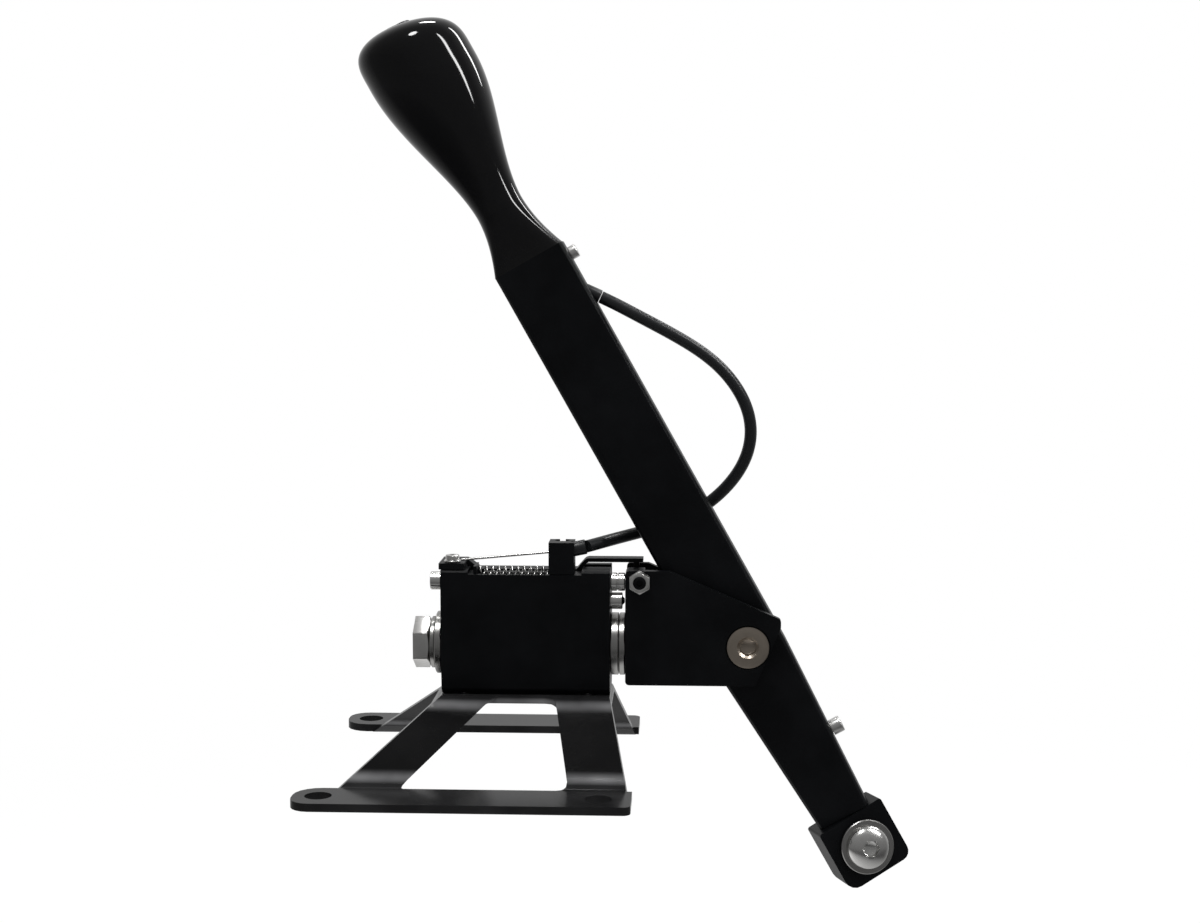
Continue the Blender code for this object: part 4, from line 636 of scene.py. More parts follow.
def prism(sides, radius, low, high, turn=0.0):
    alone()
    bpy.ops.mesh.primitive_cylinder_add(
        vertices=sides, radius=radius, depth=high - low,
        location=(0, 0, (low + high) / 2), rotation=(0, 0, turn),
    )
    piece = bpy.context.object
    bpy.ops.object.transform_apply(location=True, rotation=True, scale=True)
    return piece


def socket(piece, flats, low, high):
    """Sinks a hexagonal socket of a given width across its flats."""
    return carve(piece, prism(6, flats / math.sqrt(3), low, high))


def arc(centre, radius, first, last, steps):
    """Points of an arc, angles in degrees."""
    points = []
    for k in range(steps + 1):
        angle = math.radians(first + (last - first) * k / steps)
        points.append((centre[0] + radius * math.cos(angle), centre[1] + radius * math.sin(angle)))
    return points


def washer_profile(outer, inner, thick, edge):
    return [
        (outer - edge, thick), (outer, thick - edge), (outer, edge), (outer - edge, 0),
        (inner + edge, 0), (inner, edge), (inner, thick - edge), (inner + edge, thick),
    ]


# The circles that a hexagon's corners and end face are turned to, as shares of its width across flats
CORNER_CIRCLE = 0.485
FACE_CIRCLE = 0.475
CORNER_ANGLE = math.radians(30)


def hex_block(flats, high, both=True, turn=0.0):
    """A hexagon whose corners are turned off at one or both ends, as on a nut or a bolt's head."""
    corner = flats / math.sqrt(3)
    outside = corner + 0.0002
    drop = (corner - flats * CORNER_CIRCLE) * math.tan(CORNER_ANGLE)
    face = flats * FACE_CIRCLE
    bottom = [(outside, drop), (face, 0)] if both else [(outside, 0)]
    profile = [(0, high), (face, high), (outside, high - drop), *bottom, (0, 0)]
    return carve(prism(6, corner, 0, high, turn), spun(profile), "INTERSECT")


# A thread's crest ends and its root lies at these shares of its pitch
CREST_END = 0.15
ROOT_FROM = 0.5
ROOT_TO = 0.6


def ridges(radius, top, length, pitch, depth):
    """The ridges of a screw's end, from its top down."""
    count = max(1, int(length / pitch))
    points = []
    for k in range(count):
        high = top - k * pitch
        points += [(radius, high), (radius, high - pitch * CREST_END)]
        points += [(radius - depth, high - pitch * ROOT_FROM), (radius - depth, high - pitch * ROOT_TO)]
    points.append((radius, top - count * pitch))
    return points


def threaded_end(reach, radius, tip, lead, length, pitch, depth):
    """The half outline of a screw's end: its flat tip of a smaller radius, a lead, and its ridges."""
    return [(0, reach), (tip, reach), *ridges(radius, reach - lead, length, pitch, depth)]


def bolt_end(reach, length):
    """The threaded end that the pivot bolt and the clevis bolt have."""
    return threaded_end(
        reach, BOLT_RADIUS, tip=0.0044, lead=0.0006, length=length, pitch=0.00125, depth=0.0006,
    )


# Camera, as it stood for the photograph
CAMERA_LENS = 57.84
CAMERA_SENSOR = 36.0
CAMERA_PLACE = (0.0867, -0.775, 0.2064)
CAMERA_LEFT = 2.613
CAMERA_DOWN = 5.966

# The floor, and how it looks to the camera and in reflections with distance from its middle
FLOOR_SIZE = 30.0
FLOOR_GLOW = 0.82
FLOOR_FADE = 0.25
FLOOR_NEAR_FADE = 2.6

# The world's soft light, and the room in reflections: bright behind the object, dim on the camera's side
WORLD_LIGHT = 0.55
ROOM_BEHIND = 0.55
ROOM_ABOVE = 0.10
ROOM_LEVEL = 0.17
ROOM_DARK = 0.18

Lamp = namedtuple("Lamp", "name place aim size power")
LAMPS = [
    Lamp("key", place=(-0.10, -0.46, 1.34), aim=(0.03, 0, 0.1), size=(0.24, 0.34), power=8.0),
    Lamp("overhead", place=(-0.02, 0.24, 0.68), aim=(0.02, 0, 0.0), size=(0.12, 0.05), power=0.6),
]

# Narrow lights beside the grip: degrees round it from the camera's side, and the rise of their middles
Strip = namedtuple("Strip", "name turn lift size power")
GRIP_MIDDLE = 0.235
STRIP_AWAY = 1.0
STRIPS = [
    Strip("front_streak", turn=77.0, lift=0.11, size=(0.10, 0.78), power=6.8),
    Strip("edge_streak", turn=122.0, lift=0.21, size=(0.09, 0.58), power=3.0),
]


class Stage(bpy.types.Operator):
    """Camera, floor, soft lights and a white world"""

    bl_idname = "shifter.stage"
    bl_label = "Stage"

    def execute(self, context):
        scene = context.scene
        scene.view_settings.view_transform = "Standard"
        lens = bpy.data.cameras.new("camera")
        lens.sensor_width = CAMERA_SENSOR
        lens.lens = CAMERA_LENS
        camera = bpy.data.objects.new("camera", lens)
        camera.location = CAMERA_PLACE
        camera.rotation_euler = (math.radians(90.0 - CAMERA_DOWN), 0, math.radians(CAMERA_LEFT))
        scene.collection.objects.link(camera)
        scene.camera = camera
        self.floor()
        self.world(scene)
        for lamp in LAMPS:
            place = Vector(lamp.place)
            facing = (Vector(lamp.aim) - place).to_track_quat("-Z", "Y").to_matrix().to_4x4()
            self.light(scene, lamp, Matrix.Translation(place) @ facing)
        for strip in STRIPS:
            self.light(scene, strip, self.beside_grip(math.radians(strip.turn), strip.lift))
        return {"FINISHED"}

    def light(self, scene, item, matrix):
        """A soft oval light."""
        panel = bpy.data.lights.new(item.name, "AREA")
        panel.shape = "ELLIPSE"
        panel.size, panel.size_y = item.size
        panel.energy = item.power
        light = bpy.data.objects.new(item.name, panel)
        light.matrix_world = matrix
        scene.collection.objects.link(light)

    def beside_grip(self, turn, lift):
        """The place of a light that lies along the grip, so that it draws a streak down its side."""
        grip = PIVOT + LEVER_UP * GRIP_MIDDLE
        level = Vector((LEVER_UP.z, 0, -LEVER_UP.x))
        toward = Vector((0, -1, 0)) * math.cos(turn) + level * math.sin(turn)
        facing = Matrix((LEVER_UP.cross(toward), LEVER_UP, toward)).transposed().to_4x4()
        return Matrix.Translation(grip + toward * STRIP_AWAY + LEVER_UP * lift) @ facing

    def floor(self):
        """A plain pale floor, seen white, that still takes the object's shadow."""
        alone()
        low = CAD_BOX[0][2] - sizes().floor_drop
        bpy.ops.mesh.primitive_plane_add(size=FLOOR_SIZE, location=(0, 0, low))
        floor = bpy.context.object
        floor.name = "floor"
        bpy.ops.object.transform_apply(location=True, rotation=True, scale=True)
        work = Finish("pale_floor")
        cloud = work.noise(work.place(), scale=0.8, detail=1.0)
        work.surface(
            Base_Color=work.shades(cloud, colours().floor, last=1.04), Roughness=0.9, Specular_IOR_Level=0.1,
        )
        ahead = work.part(work.place(), "X")
        behind = ahead.beside("Y")
        away = (ahead * ahead + behind * behind) ** 0.5
        glow = (FLOOR_GLOW + away * FLOOR_FADE).at_most(1.0)
        seen, mirrored = work.rays()
        room = (behind / away * ROOM_BEHIND + ROOM_LEVEL).at_least((away * ROOM_DARK).at_most(ROOM_DARK))
        strength = seen + mirrored * room.at_least(1.0 - away * FLOOR_NEAR_FADE).at_most(1.0)
        shown = work.add("ShaderNodeEmission", {}, {"Color": (1, 1, 1, 1), "Strength": strength})
        plain = Field(work.tree, work.shader.outputs[0])
        blend = work.add("ShaderNodeMixShader", {}, {0: seen * glow + mirrored, 1: plain, 2: shown})
        work.tree.links.new(blend.socket, work.tree.nodes["Material Output"].inputs["Surface"])
        floor.data.materials.append(work.material)

    def world(self, scene):
        """White where it is seen and behind the object in its reflections, dim on the camera's side."""
        world = bpy.data.worlds.new("studio")
        scene.world = world
        world.use_nodes = True
        work = Nodes(world.node_tree)
        seen, mirrored = work.rays()
        behind = work.part(work.add("ShaderNodeTexCoord", output="Generated"), "Y")
        above = behind.beside("Z")
        room = (behind * ROOM_BEHIND + ROOM_LEVEL).at_least(above * ROOM_ABOVE + ROOM_DARK).at_most(1.0)
        soft = mirrored * room + (1 - mirrored) * WORLD_LIGHT
        strength = seen + (1 - seen) * soft
        light = work.tree.nodes["Background"]
        light.inputs["Color"].default_value = (1, 1, 1, 1)
        work.tree.links.new(strength.socket, light.inputs["Strength"])


class BaseBracket(bpy.types.Operator):
    """The bent base with its cut edges rounded"""

    bl_idname = "shifter.base_bracket"
    bl_label = "Base bracket"

    def execute(self, context):
        edged("base_bracket", "bent_base", powder_coat(), sizes().sheet_edge)
        return {"FINISHED"}


class BlackMachinedParts(bpy.types.Operator):
    """Bearing block, yoke, lever, clevis, clamp, latch and rocker, each with its edges broken"""

    bl_idname = "shifter.black_parts"
    bl_label = "Black machined parts"

    def execute(self, context):
        for node, name, share in (
            ("bearing_housing", "bearing_block", 1.0), ("yoke", "rolling_yoke", 1.0),
            ("lever", "lever_bar", 0.5), ("clevis", "lever_clevis", 1.0), ("cable_clamp", "cable_post", 1.0),
            ("latch_slider", "latch_strap", 0.6), ("rocker", "release_rocker", 0.4),
        ):
            edged(node, name, anodised_black(), sizes().edge * share)
        return {"FINISHED"}


# The grip's skin: its columns and rows, the share of the rows outside the bore, and their closing up
GRIP_COLUMNS = 96
GRIP_ROWS = 150
OUTSIDE_ROWS = 0.90
ROW_SPREAD = 1.6

# Powers that shape the grip: the root's flare and its squareness, the bulb's swell and the crown
ROOT_FLARE = 1.8
ROOT_SIDE_FLARE = 1.3
ROOT_SQUARENESS = 4.0
SWELL = 0.92
CROWN_ROUNDNESS = 3.2
CROWN_FALL = 2.4
CROWN_LEAN = 0.14
LEAN_ROWS = 0.02

# The button's bore in the crown
BORE_ROOM = 0.0003
BORE_LIP = 0.0006
BORE_EDGE = 0.0001
BORE_STEP = 0.0004
BORE_DEEP = 0.0120


class Grip(bpy.types.Operator):
    """The grip: an oblong root that runs into a waist, a bulb and a leaning crown"""

    bl_idname = "shifter.grip"
    bl_label = "Grip"

    def execute(self, context):
        size = sizes()
        alone()
        bpy.ops.mesh.primitive_grid_add(x_subdivisions=GRIP_COLUMNS, y_subdivisions=GRIP_ROWS, size=1)
        skin = bpy.context.object
        for vertex in skin.data.vertices:
            vertex.co = self.point(vertex.co.x + 0.5, vertex.co.y + 0.5, size)
        alone(skin)
        bpy.ops.object.mode_set(mode="EDIT")
        bpy.ops.mesh.select_all(action="SELECT")
        bpy.ops.mesh.remove_doubles(threshold=WELD)
        bpy.ops.mesh.select_all(action="DESELECT")
        bpy.ops.mesh.select_non_manifold()
        bpy.ops.mesh.edge_face_add()
        bpy.ops.mesh.select_all(action="SELECT")
        bpy.ops.mesh.normals_make_consistent(inside=False)
        bpy.ops.object.mode_set(mode="OBJECT")
        rest(skin, LEVER_PLACE)
        smooth(skin, 40.0)
        dress(skin, "grip", gloss_grip(), "knob")
        return {"FINISHED"}

    def bulb_share(self, height, size):
        """How far a height lies from the waist, 0, to the widest place and above it, 1."""
        return min(max((height - size.neck_height) / (size.widest - size.neck_height), 0), 1)

    def half(self, height, size):
        """Half the grip's width at a height above the lever."""
        root = (size.lever_rear + size.lever_front) / 2
        if height <= size.neck_height:
            flare = (1 - height / size.neck_height) ** ROOT_FLARE
            return size.neck_radius + (root - size.neck_radius) * flare
        share = self.bulb_share(height, size)
        swell = (share * share * (3 - 2 * share)) ** SWELL
        bulb = size.neck_radius + (size.grip_radius - size.neck_radius) * swell
        rim = size.grip_height - size.rim
        if height <= rim:
            return bulb
        share = (height - rim) / size.rim
        return bulb * max(0.0, 1 - share**CROWN_ROUNDNESS) ** (1 / CROWN_FALL)

    def point(self, u, v, size):
        """A point of the skin: u runs round, v from the root over the crown and down the button's bore."""
        bore = size.button_radius + BORE_ROOM
        if v < OUTSIDE_ROWS:
            share = v / OUTSIDE_ROWS
            height = size.grip_height * (1 - (1 - share) ** ROW_SPREAD)
            wide = self.half(height, size)
            if wide < bore + BORE_LIP:
                wide = bore + BORE_LIP
                height = min(height, size.grip_height - BORE_EDGE)
            above_root = min(height / size.neck_height, 1)
            root = (size.lever_rear + size.lever_front) / 2
            deep = wide + (size.lever_half - root) * (1 - above_root) ** ROOT_SIDE_FLARE
            power = 2 / (2 + ROOT_SQUARENESS * (1 - above_root) ** 2)
        else:
            share = (v - OUTSIDE_ROWS) / (1 - OUTSIDE_ROWS)
            wide = bore
            deep = bore
            power = 1.0
            height = size.grip_height - BORE_STEP - share * BORE_DEEP
        lean = CROWN_LEAN * self.bulb_share(height, size)
        if v >= OUTSIDE_ROWS + LEAN_ROWS:
            lean = 0.0
        c = math.cos(math.tau * u)
        s = math.sin(math.tau * u)
        x = math.copysign(abs(c) ** power, c) * wide
        y = math.copysign(abs(s) ** power, s) * deep
        return (size.grip_axis + x, y, size.lever_top + height - lean * x)


BUTTON_PROUD = 0.0002
BUTTON_DISH = 0.0003
BUTTON_EDGE = 0.0009
BUTTON_SKIRT = 0.0045
PUSH_ROD_RADIUS = 0.0020
PUSH_ROD_END = 0.0004


class ThumbButton(bpy.types.Operator):
    """The reverse button in the grip's crown, and its rod"""

    bl_idname = "shifter.thumb_button"
    bl_label = "Thumb button"

    def execute(self, context):
        size = sizes()
        crown = size.lever_top + size.grip_height
        top = crown + BUTTON_PROUD
        radius = size.button_radius
        skirt = crown - BUTTON_SKIRT
        low = span_of("push_button", LEVER_PLACE)[0]
        profile = [(0, top - BUTTON_DISH), (radius * 0.5, top - BUTTON_DISH * 2 / 3), (radius * 0.78, top)]
        profile += arc((radius - BUTTON_EDGE, top - BUTTON_EDGE), BUTTON_EDGE, 90, 0, 5)
        profile += [
            (radius, skirt), (PUSH_ROD_RADIUS, skirt), (PUSH_ROD_RADIUS, low + PUSH_ROD_END),
            (PUSH_ROD_RADIUS - PUSH_ROD_END, low), (0, low),
        ]
        place = LEVER_PLACE @ Matrix.Translation((size.grip_axis, 0, 0))
        button = rest(spun(profile), place)
        smooth(button)
        finish = turned_steel("button_steel", place, colours().blackened, 0.30)
        dress(button, "thumb_button", finish, "push_button")
        return {"FINISHED"}


# Radii of the shaft and the bolts, and the room that nuts and washers have on them
SHAFT_RADIUS = 0.0060
BOLT_RADIUS = 0.0050
EAR_SCREW_RADIUS = 0.0025
ANCHOR_RADIUS = 0.0015
NUT_ROOM = 0.0001
WASHER_ROOM = 0.0003

# The lock washer's cut
SPLIT_RADIUS = 0.0009
SPLIT_STRETCH = 8
SPLIT_TURN = 0.5
SPLIT_OUT = 0.78


class Washers(bpy.types.Operator):
    """Flat washers with broken edges, the split lock washer and the thrust washers"""

    bl_idname = "shifter.washers"
    bl_label = "Washers"

    def execute(self, context):
        for node, name, axis, bolt in (
            ("flat_washer", "shaft_flat_washer", AHEAD, SHAFT_RADIUS),
            ("thrust_washer_1", "inner_thrust_washer", AHEAD, SHAFT_RADIUS),
            ("thrust_washer_2", "outer_thrust_washer", AHEAD, SHAFT_RADIUS),
            ("lock_washer", "shaft_lock_washer", AHEAD, SHAFT_RADIUS),
            ("pivot_washer", "lever_pivot_washer", PIVOT_AWAY, BOLT_RADIUS),
            ("clevis_washer_near", "clevis_near_washer", CLEVIS_TOWARD, BOLT_RADIUS),
            ("clevis_washer_far", "clevis_far_washer", CLEVIS_TOWARD, BOLT_RADIUS),
            ("anchor_washer", "wire_anchor_washer", UP, ANCHOR_RADIUS),
        ):
            seat, thick = seat_of(node, axis)
            low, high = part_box(node)
            outer = max(high.x - low.x, high.z - low.z) / 2
            small = node == "anchor_washer"
            edge = sizes().steel_edge * (0.5 if small else 1.0)
            piece = spun(washer_profile(outer, bolt + WASHER_ROOM, thick, edge), closed=True)
            if node == "lock_washer":
                self.split(piece, outer)
            rest(piece, seat)
            smooth(piece)
            finish = plain_steel() if small else turned_steel(f"{name}_steel", seat, colours().washer)
            dress(piece, name, finish, node)
        return {"FINISHED"}

    def split(self, washer, outer):
        """The slanting cut through a lock washer's ring."""
        cut = prism(4, SPLIT_RADIUS, -0.01, 0.01)
        cut.matrix_world = (
            Matrix.Translation((0, outer * SPLIT_OUT, SPLIT_RADIUS)) @ Matrix.Rotation(SPLIT_TURN, 4, "Y")
        )
        cut.scale = (1, SPLIT_STRETCH, 1)
        carve(washer, cut)


# The shallow dish that the hex head's end is turned to, as radius and depth
HEAD_DISH = [(0, 0.0012), (0.0030, 0.0005), (0.0052, -0.0002), (0.0052, -0.001), (0, -0.001)]
RUNNING_GAP = 0.0003


class HexParts(bpy.types.Operator):
    """The shaft's hex head and the four nuts, with turned corners"""

    bl_idname = "shifter.hex_parts"
    bl_label = "Hex head and nuts"

    def execute(self, context):
        self.shaft()
        for node, name, axis, bolt in (
            ("jam_nut", "shaft_jam_nut", AHEAD, SHAFT_RADIUS),
            ("pivot_nut", "lever_pivot_nut", PIVOT_AWAY, BOLT_RADIUS),
            ("ear_nut", "ear_screw_nut", AWAY, EAR_SCREW_RADIUS),
            ("clevis_nut", "clevis_bolt_nut", CLEVIS_AWAY, BOLT_RADIUS),
        ):
            self.nut(node, name, axis, bolt + NUT_ROOM)
        return {"FINISHED"}

    def shaft(self):
        low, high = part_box("shift_shaft")
        seat = along((low.x, 0, SHAFT_Z), (high.x, 0, SHAFT_Z))
        reach = high.x - low.x
        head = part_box("lock_washer")[0].x - RUNNING_GAP - low.x
        shaft = hex_block(high.y - low.y, head, both=False)
        shank = threaded_end(
            reach, SHAFT_RADIUS, tip=0.0050, lead=0.0008, length=0.022, pitch=0.0015, depth=0.0007,
        )
        shank += [(SHAFT_RADIUS, head * 0.5), (0, head * 0.5)]
        carve(shaft, spun(shank), "UNION")
        carve(shaft, spun(HEAD_DISH))
        rest(shaft, seat)
        smooth(soften(shaft, 0.00015, 28))
        dress(shaft, "hex_shaft", turned_steel("hex_shaft_steel", seat), "shift_shaft")

    def nut(self, node, name, axis, bore):
        """A nut turned and sized by the solid's own corners."""
        seat, thick = seat_of(node, axis)
        points = [seat.inverted() @ vertex.co for vertex in frame["nodes"][node].data.vertices]
        corner = max(points, key=lambda point: round(math.hypot(point.x, point.y), DIGITS))
        flats = math.hypot(corner.x, corner.y) * math.sqrt(3)
        turn = math.atan2(corner.y, corner.x) - math.radians(90)
        nut = hex_block(flats, thick, turn=turn)
        carve(nut, spun([(0, 0.02), (bore, 0.02), (bore, -0.01), (0, -0.01)]))
        rest(nut, seat)
        smooth(soften(nut, 0.00012, 28))
        dress(nut, name, turned_steel(f"{name}_steel", seat), node)


SOCKET_FLATS = 0.0064
SOCKET_DEEP = 0.0028
SOCKET_MOUTH = [(0, 0.0010), (0.0034, 0.0010), (0.0047, -0.0003), (0, -0.0003)]
DRILL_SLOPE = 0.6
SINK_DEEP = 0.0031
SINK_LAND = 0.0004


def bolt_socket(bolt):
    """A bolt's hex socket, with the cone that the drill leaves at its bottom."""
    socket(bolt, SOCKET_FLATS, -0.001, SOCKET_DEEP)
    radius = SOCKET_FLATS / 2 - 0.0001
    start = SOCKET_DEEP - 0.0005
    tip = SOCKET_DEEP + radius * DRILL_SLOPE
    return carve(bolt, spun([(0, tip), (radius, SOCKET_DEEP), (radius, start), (0, start)]))


class PivotBolt(bpy.types.Operator):
    """The countersunk pivot bolt with its hex socket and threaded end"""

    bl_idname = "shifter.pivot_bolt"
    bl_label = "Pivot bolt"

    def execute(self, context):
        seat, reach = seat_of("pivot_bolt", PIVOT_AWAY)
        low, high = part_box("pivot_bolt")
        head = (high.x - low.x) / 2
        profile = bolt_end(reach, 0.0100) + [
            (BOLT_RADIUS, SINK_DEEP), (head, SINK_LAND), (head - 0.0002, 0.0001), (head - 0.0005, 0), (0, 0),
        ]
        bolt = bolt_socket(spun(profile))
        carve(bolt, spun(SOCKET_MOUTH))
        rest(bolt, seat)
        smooth(soften(bolt, 0.00012, 30))
        finish = turned_steel("pivot_head_steel", seat, colours().warm, 0.30)
        dress(bolt, "lever_pivot_bolt", finish, "pivot_bolt")
        return {"FINISHED"}


BUTTON_HEAD_RADIUS = 0.0088
BUTTON_HEAD_RIM = 0.0004
DOME_ANGLES = (0.12, 0.3, 0.5, 0.7, 0.9, 1.05, 1.18)


class ClevisBolt(bpy.types.Operator):
    """The button-head bolt across the clevis"""

    bl_idname = "shifter.clevis_bolt"
    bl_label = "Clevis bolt"

    def execute(self, context):
        seat, reach = seat_of("clevis_bolt", CLEVIS_AWAY, centred_on="clevis_washer_near")
        low = span_of("clevis_bolt", CLEVIS_AWAY)[0]
        head = span_of("clevis_washer_near", CLEVIS_AWAY)[0] - low - RUNNING_GAP
        dome = head - BUTTON_HEAD_RIM
        profile = bolt_end(reach, 0.0120)
        radius = BUTTON_HEAD_RADIUS
        profile += [(BOLT_RADIUS, head), (radius - 0.0002, head), (radius, head - 0.0002)]
        profile += [(radius * math.cos(angle), dome - dome * math.sin(angle)) for angle in DOME_ANGLES]
        profile += [(0, profile[-1][1])]
        bolt = bolt_socket(spun(profile))
        rest(bolt, seat)
        smooth(soften(bolt, 0.00012, 32))
        finish = turned_steel("clevis_bolt_steel", seat, rough=0.12)
        dress(bolt, "clevis_button_bolt", finish, "clevis_bolt")
        return {"FINISHED"}


# Cap screws: radius and depth of the head, radius of the shank, width of the key
CapScrew = namedtuple("CapScrew", "node name axis head deep shank key")
CAP_SCREWS = [
    CapScrew("knob_screw", "grip_screw", LEVER_AHEAD, 0.00275, 0.0030, 0.0015, 0.0025),
    CapScrew("clevis_screw", "clevis_lock_screw", LEVER_AHEAD, 0.0033, 0.0045, 0.0020, 0.0030),
    CapScrew("clamp_screw", "post_screw", UP, 0.00275, 0.0022, 0.0015, 0.0025),
    CapScrew("anchor_screw", "wire_anchor_screw", UP, 0.0028, 0.0018, ANCHOR_RADIUS, 0.0020),
] + [
    CapScrew(f"base_screw_{number}", f"block_screw_{number}", DOWN, 0.0043, 0.0045, 0.0025, 0.0040)
    for number in range(1, 5)
]
CAP_EDGE = 0.0004
SCREW_STEPS = 48


class SmallScrews(bpy.types.Operator):
    """Cap screws with round-edged heads and hex sockets"""

    bl_idname = "shifter.small_screws"
    bl_label = "Small screws"

    def execute(self, context):
        for job in CAP_SCREWS:
            low_end, reach = seat_of(job.node, job.axis)
            seat = low_end @ Matrix.Translation((0, 0, reach - job.deep))
            length = reach - job.deep
            profile = [(0, job.deep), (job.head - 0.0005, job.deep)]
            profile += arc((job.head - CAP_EDGE, job.deep - CAP_EDGE), CAP_EDGE, 90, 0, 3)
            profile += [(job.head, 0.0001), (job.head - 0.0001, 0), (job.shank, 0)]
            profile += ridges(job.shank, -0.0002, length - 0.0012, job.shank * 0.32, job.shank * 0.12)
            profile += [(job.shank * 0.8, -length), (0, -length)]
            screw = socket(spun(profile, SCREW_STEPS), job.key, job.deep * 0.4, job.deep + 0.001)
            rest(screw, seat)
            smooth(screw)
            dress(screw, job.name, turned_steel(f"{job.name}_steel", seat), job.node)
        return {"FINISHED"}


# The gate's stops: the rod's radius and its tip's, the plug's head, the pin's groove and the ball's seat
STOP_RADIUS = 0.0025
STOP_TIP_RADIUS = 0.0021
STOP_STEPS = 64
PLUG_HEAD = 0.0044
PLUG_RECESS = 0.0008
PIN_TIP = 0.0023
PIN_COLLAR = 0.0057
PIN_GROOVE = 0.0004
NOSE_LENGTH = 0.0010
NOSE_RADIUS = 0.0018


class GateStops(bpy.types.Operator):
    """The rear plug, the stop pin, the spring plunger and the ear screw"""

    bl_idname = "shifter.gate_stops"
    bl_label = "Gate stops"

    def execute(self, context):
        for node, name, outline in (
            ("rear_plug", "rear_plug_steel", self.plug), ("stop_pin", "gate_stop_pin", self.pin),
            ("detent_plunger", "spring_plunger", self.plunger),
        ):
            seat, reach = seat_of(node, AHEAD)
            low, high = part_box(node)
            profile = outline(reach, (high.z - low.z) / 2, sizes().steel_edge)
            piece = rest(spun(profile, STOP_STEPS), seat)
            smooth(piece)
            dress(piece, name, turned_steel(f"{name}_finish", seat, rough=0.14), node)
        seat, reach = seat_of("ear_screw", TOWARD)
        profile = threaded_end(
            reach, EAR_SCREW_RADIUS, tip=0.0019, lead=0.0003, length=0.0064, pitch=0.0008, depth=0.0003,
        )
        profile += [(EAR_SCREW_RADIUS, 0.0004), (EAR_SCREW_RADIUS - 0.0004, 0), (0, 0)]
        screw = socket(spun(profile, SCREW_STEPS), 0.0025, reach - 0.0015, reach + 0.001)
        rest(screw, seat)
        smooth(screw)
        finish = turned_steel("ear_screw_steel", seat, colours().blackened, 0.30)
        dress(screw, "ear_set_screw", finish, "ear_screw")
        return {"FINISHED"}

    def plug(self, reach, radius, edge):
        """A screw with a shallow round recess in its head."""
        return [
            (0, reach), (STOP_TIP_RADIUS, reach), (STOP_RADIUS, reach - edge), (STOP_RADIUS, PLUG_HEAD),
            (radius - edge, PLUG_HEAD), (radius, PLUG_HEAD - edge), (radius, edge), (radius - edge, 0),
            (0.0016, 0), (0.0012, PLUG_RECESS), (0, PLUG_RECESS),
        ]

    def pin(self, reach, radius, edge):
        """A pin with a grooved collar."""
        tip = reach - PIN_TIP
        collar = tip - PIN_COLLAR
        groove = radius - PIN_GROOVE
        return [
            (0, reach), (STOP_TIP_RADIUS, reach), (STOP_RADIUS, reach - edge), (STOP_RADIUS, tip),
            (radius - edge, tip), (radius, tip - edge), (radius, collar + 0.0031), (groove, collar + 0.0029),
            (groove, collar + 0.0025), (radius, collar + 0.0023), (radius, collar + edge),
            (radius - edge, collar), (STOP_RADIUS, collar), (STOP_RADIUS, 0), (0, 0),
        ]

    def plunger(self, reach, radius, edge):
        """A threaded body with its ball standing out."""
        nose = reach - NOSE_LENGTH
        return [
            (0, reach), (NOSE_RADIUS / 2, reach - 0.0001), (NOSE_RADIUS - 0.0002, nose + 0.0002),
            (NOSE_RADIUS, nose), (radius - edge, nose), (radius, nose - edge), (radius, 0), (0, 0),
        ]


SMOOTHING_PASSES = 40
CURVE_STEPS = 24


def smooth_route(points, spacing):
    """Evenly spread points on a smooth curve through the given points."""
    points = [Vector(point) for point in points]
    ends = [points[0] * 2 - points[1], *points, points[-1] * 2 - points[-2]]
    fine = []
    for a, b, c, d in zip(ends, ends[1:], ends[2:], ends[3:]):
        for k in range(CURVE_STEPS):
            t = k / CURVE_STEPS
            cube = (-a + b * 3 - c * 3 + d) * t**3
            square = (a * 2 - b * 5 + c * 4 - d) * t**2
            fine.append((cube + square + (c - a) * t + b * 2) / 2)
    fine.append(points[-1])
    lengths = [0.0]
    for a, b in zip(fine, fine[1:]):
        lengths.append(lengths[-1] + (b - a).length)
    count = max(2, round(lengths[-1] / spacing))
    route = []
    i = 0
    for k in range(count + 1):
        goal = lengths[-1] * k / count
        while i < len(fine) - 2 and lengths[i + 1] < goal:
            i += 1
        share = (goal - lengths[i]) / max(lengths[i + 1] - lengths[i], 1e-9)
        route.append(fine[i].lerp(fine[i + 1], share))
    for _ in range(SMOOTHING_PASSES):
        inner = [(a + b * 2 + c) / 4 for a, b, c in zip(route, route[1:], route[2:])]
        route = [route[0], *inner, route[-1]]
    return route


def drawn_line(points, radius, fineness=6):
    """A round line through points, made a mesh with its caps welded."""
    curve = bpy.data.curves.new("line", "CURVE")
    curve.dimensions = "3D"
    curve.bevel_depth = radius
    curve.bevel_resolution = fineness
    curve.use_fill_caps = True
    line = curve.splines.new("POLY")
    line.points.add(len(points) - 1)
    for point, place in zip(line.points, points):
        point.co = (*place, 1)
    piece = bpy.data.objects.new("line", curve)
    bpy.context.scene.collection.objects.link(piece)
    alone(piece)
    bpy.ops.object.convert(target="MESH")
    piece = bpy.context.object
    bpy.ops.object.mode_set(mode="EDIT")
    bpy.ops.mesh.select_all(action="SELECT")
    bpy.ops.mesh.remove_doubles(threshold=2 * WELD)
    bpy.ops.mesh.normals_make_consistent(inside=False)
    bpy.ops.object.mode_set(mode="OBJECT")
    return smooth(piece, 50.0)


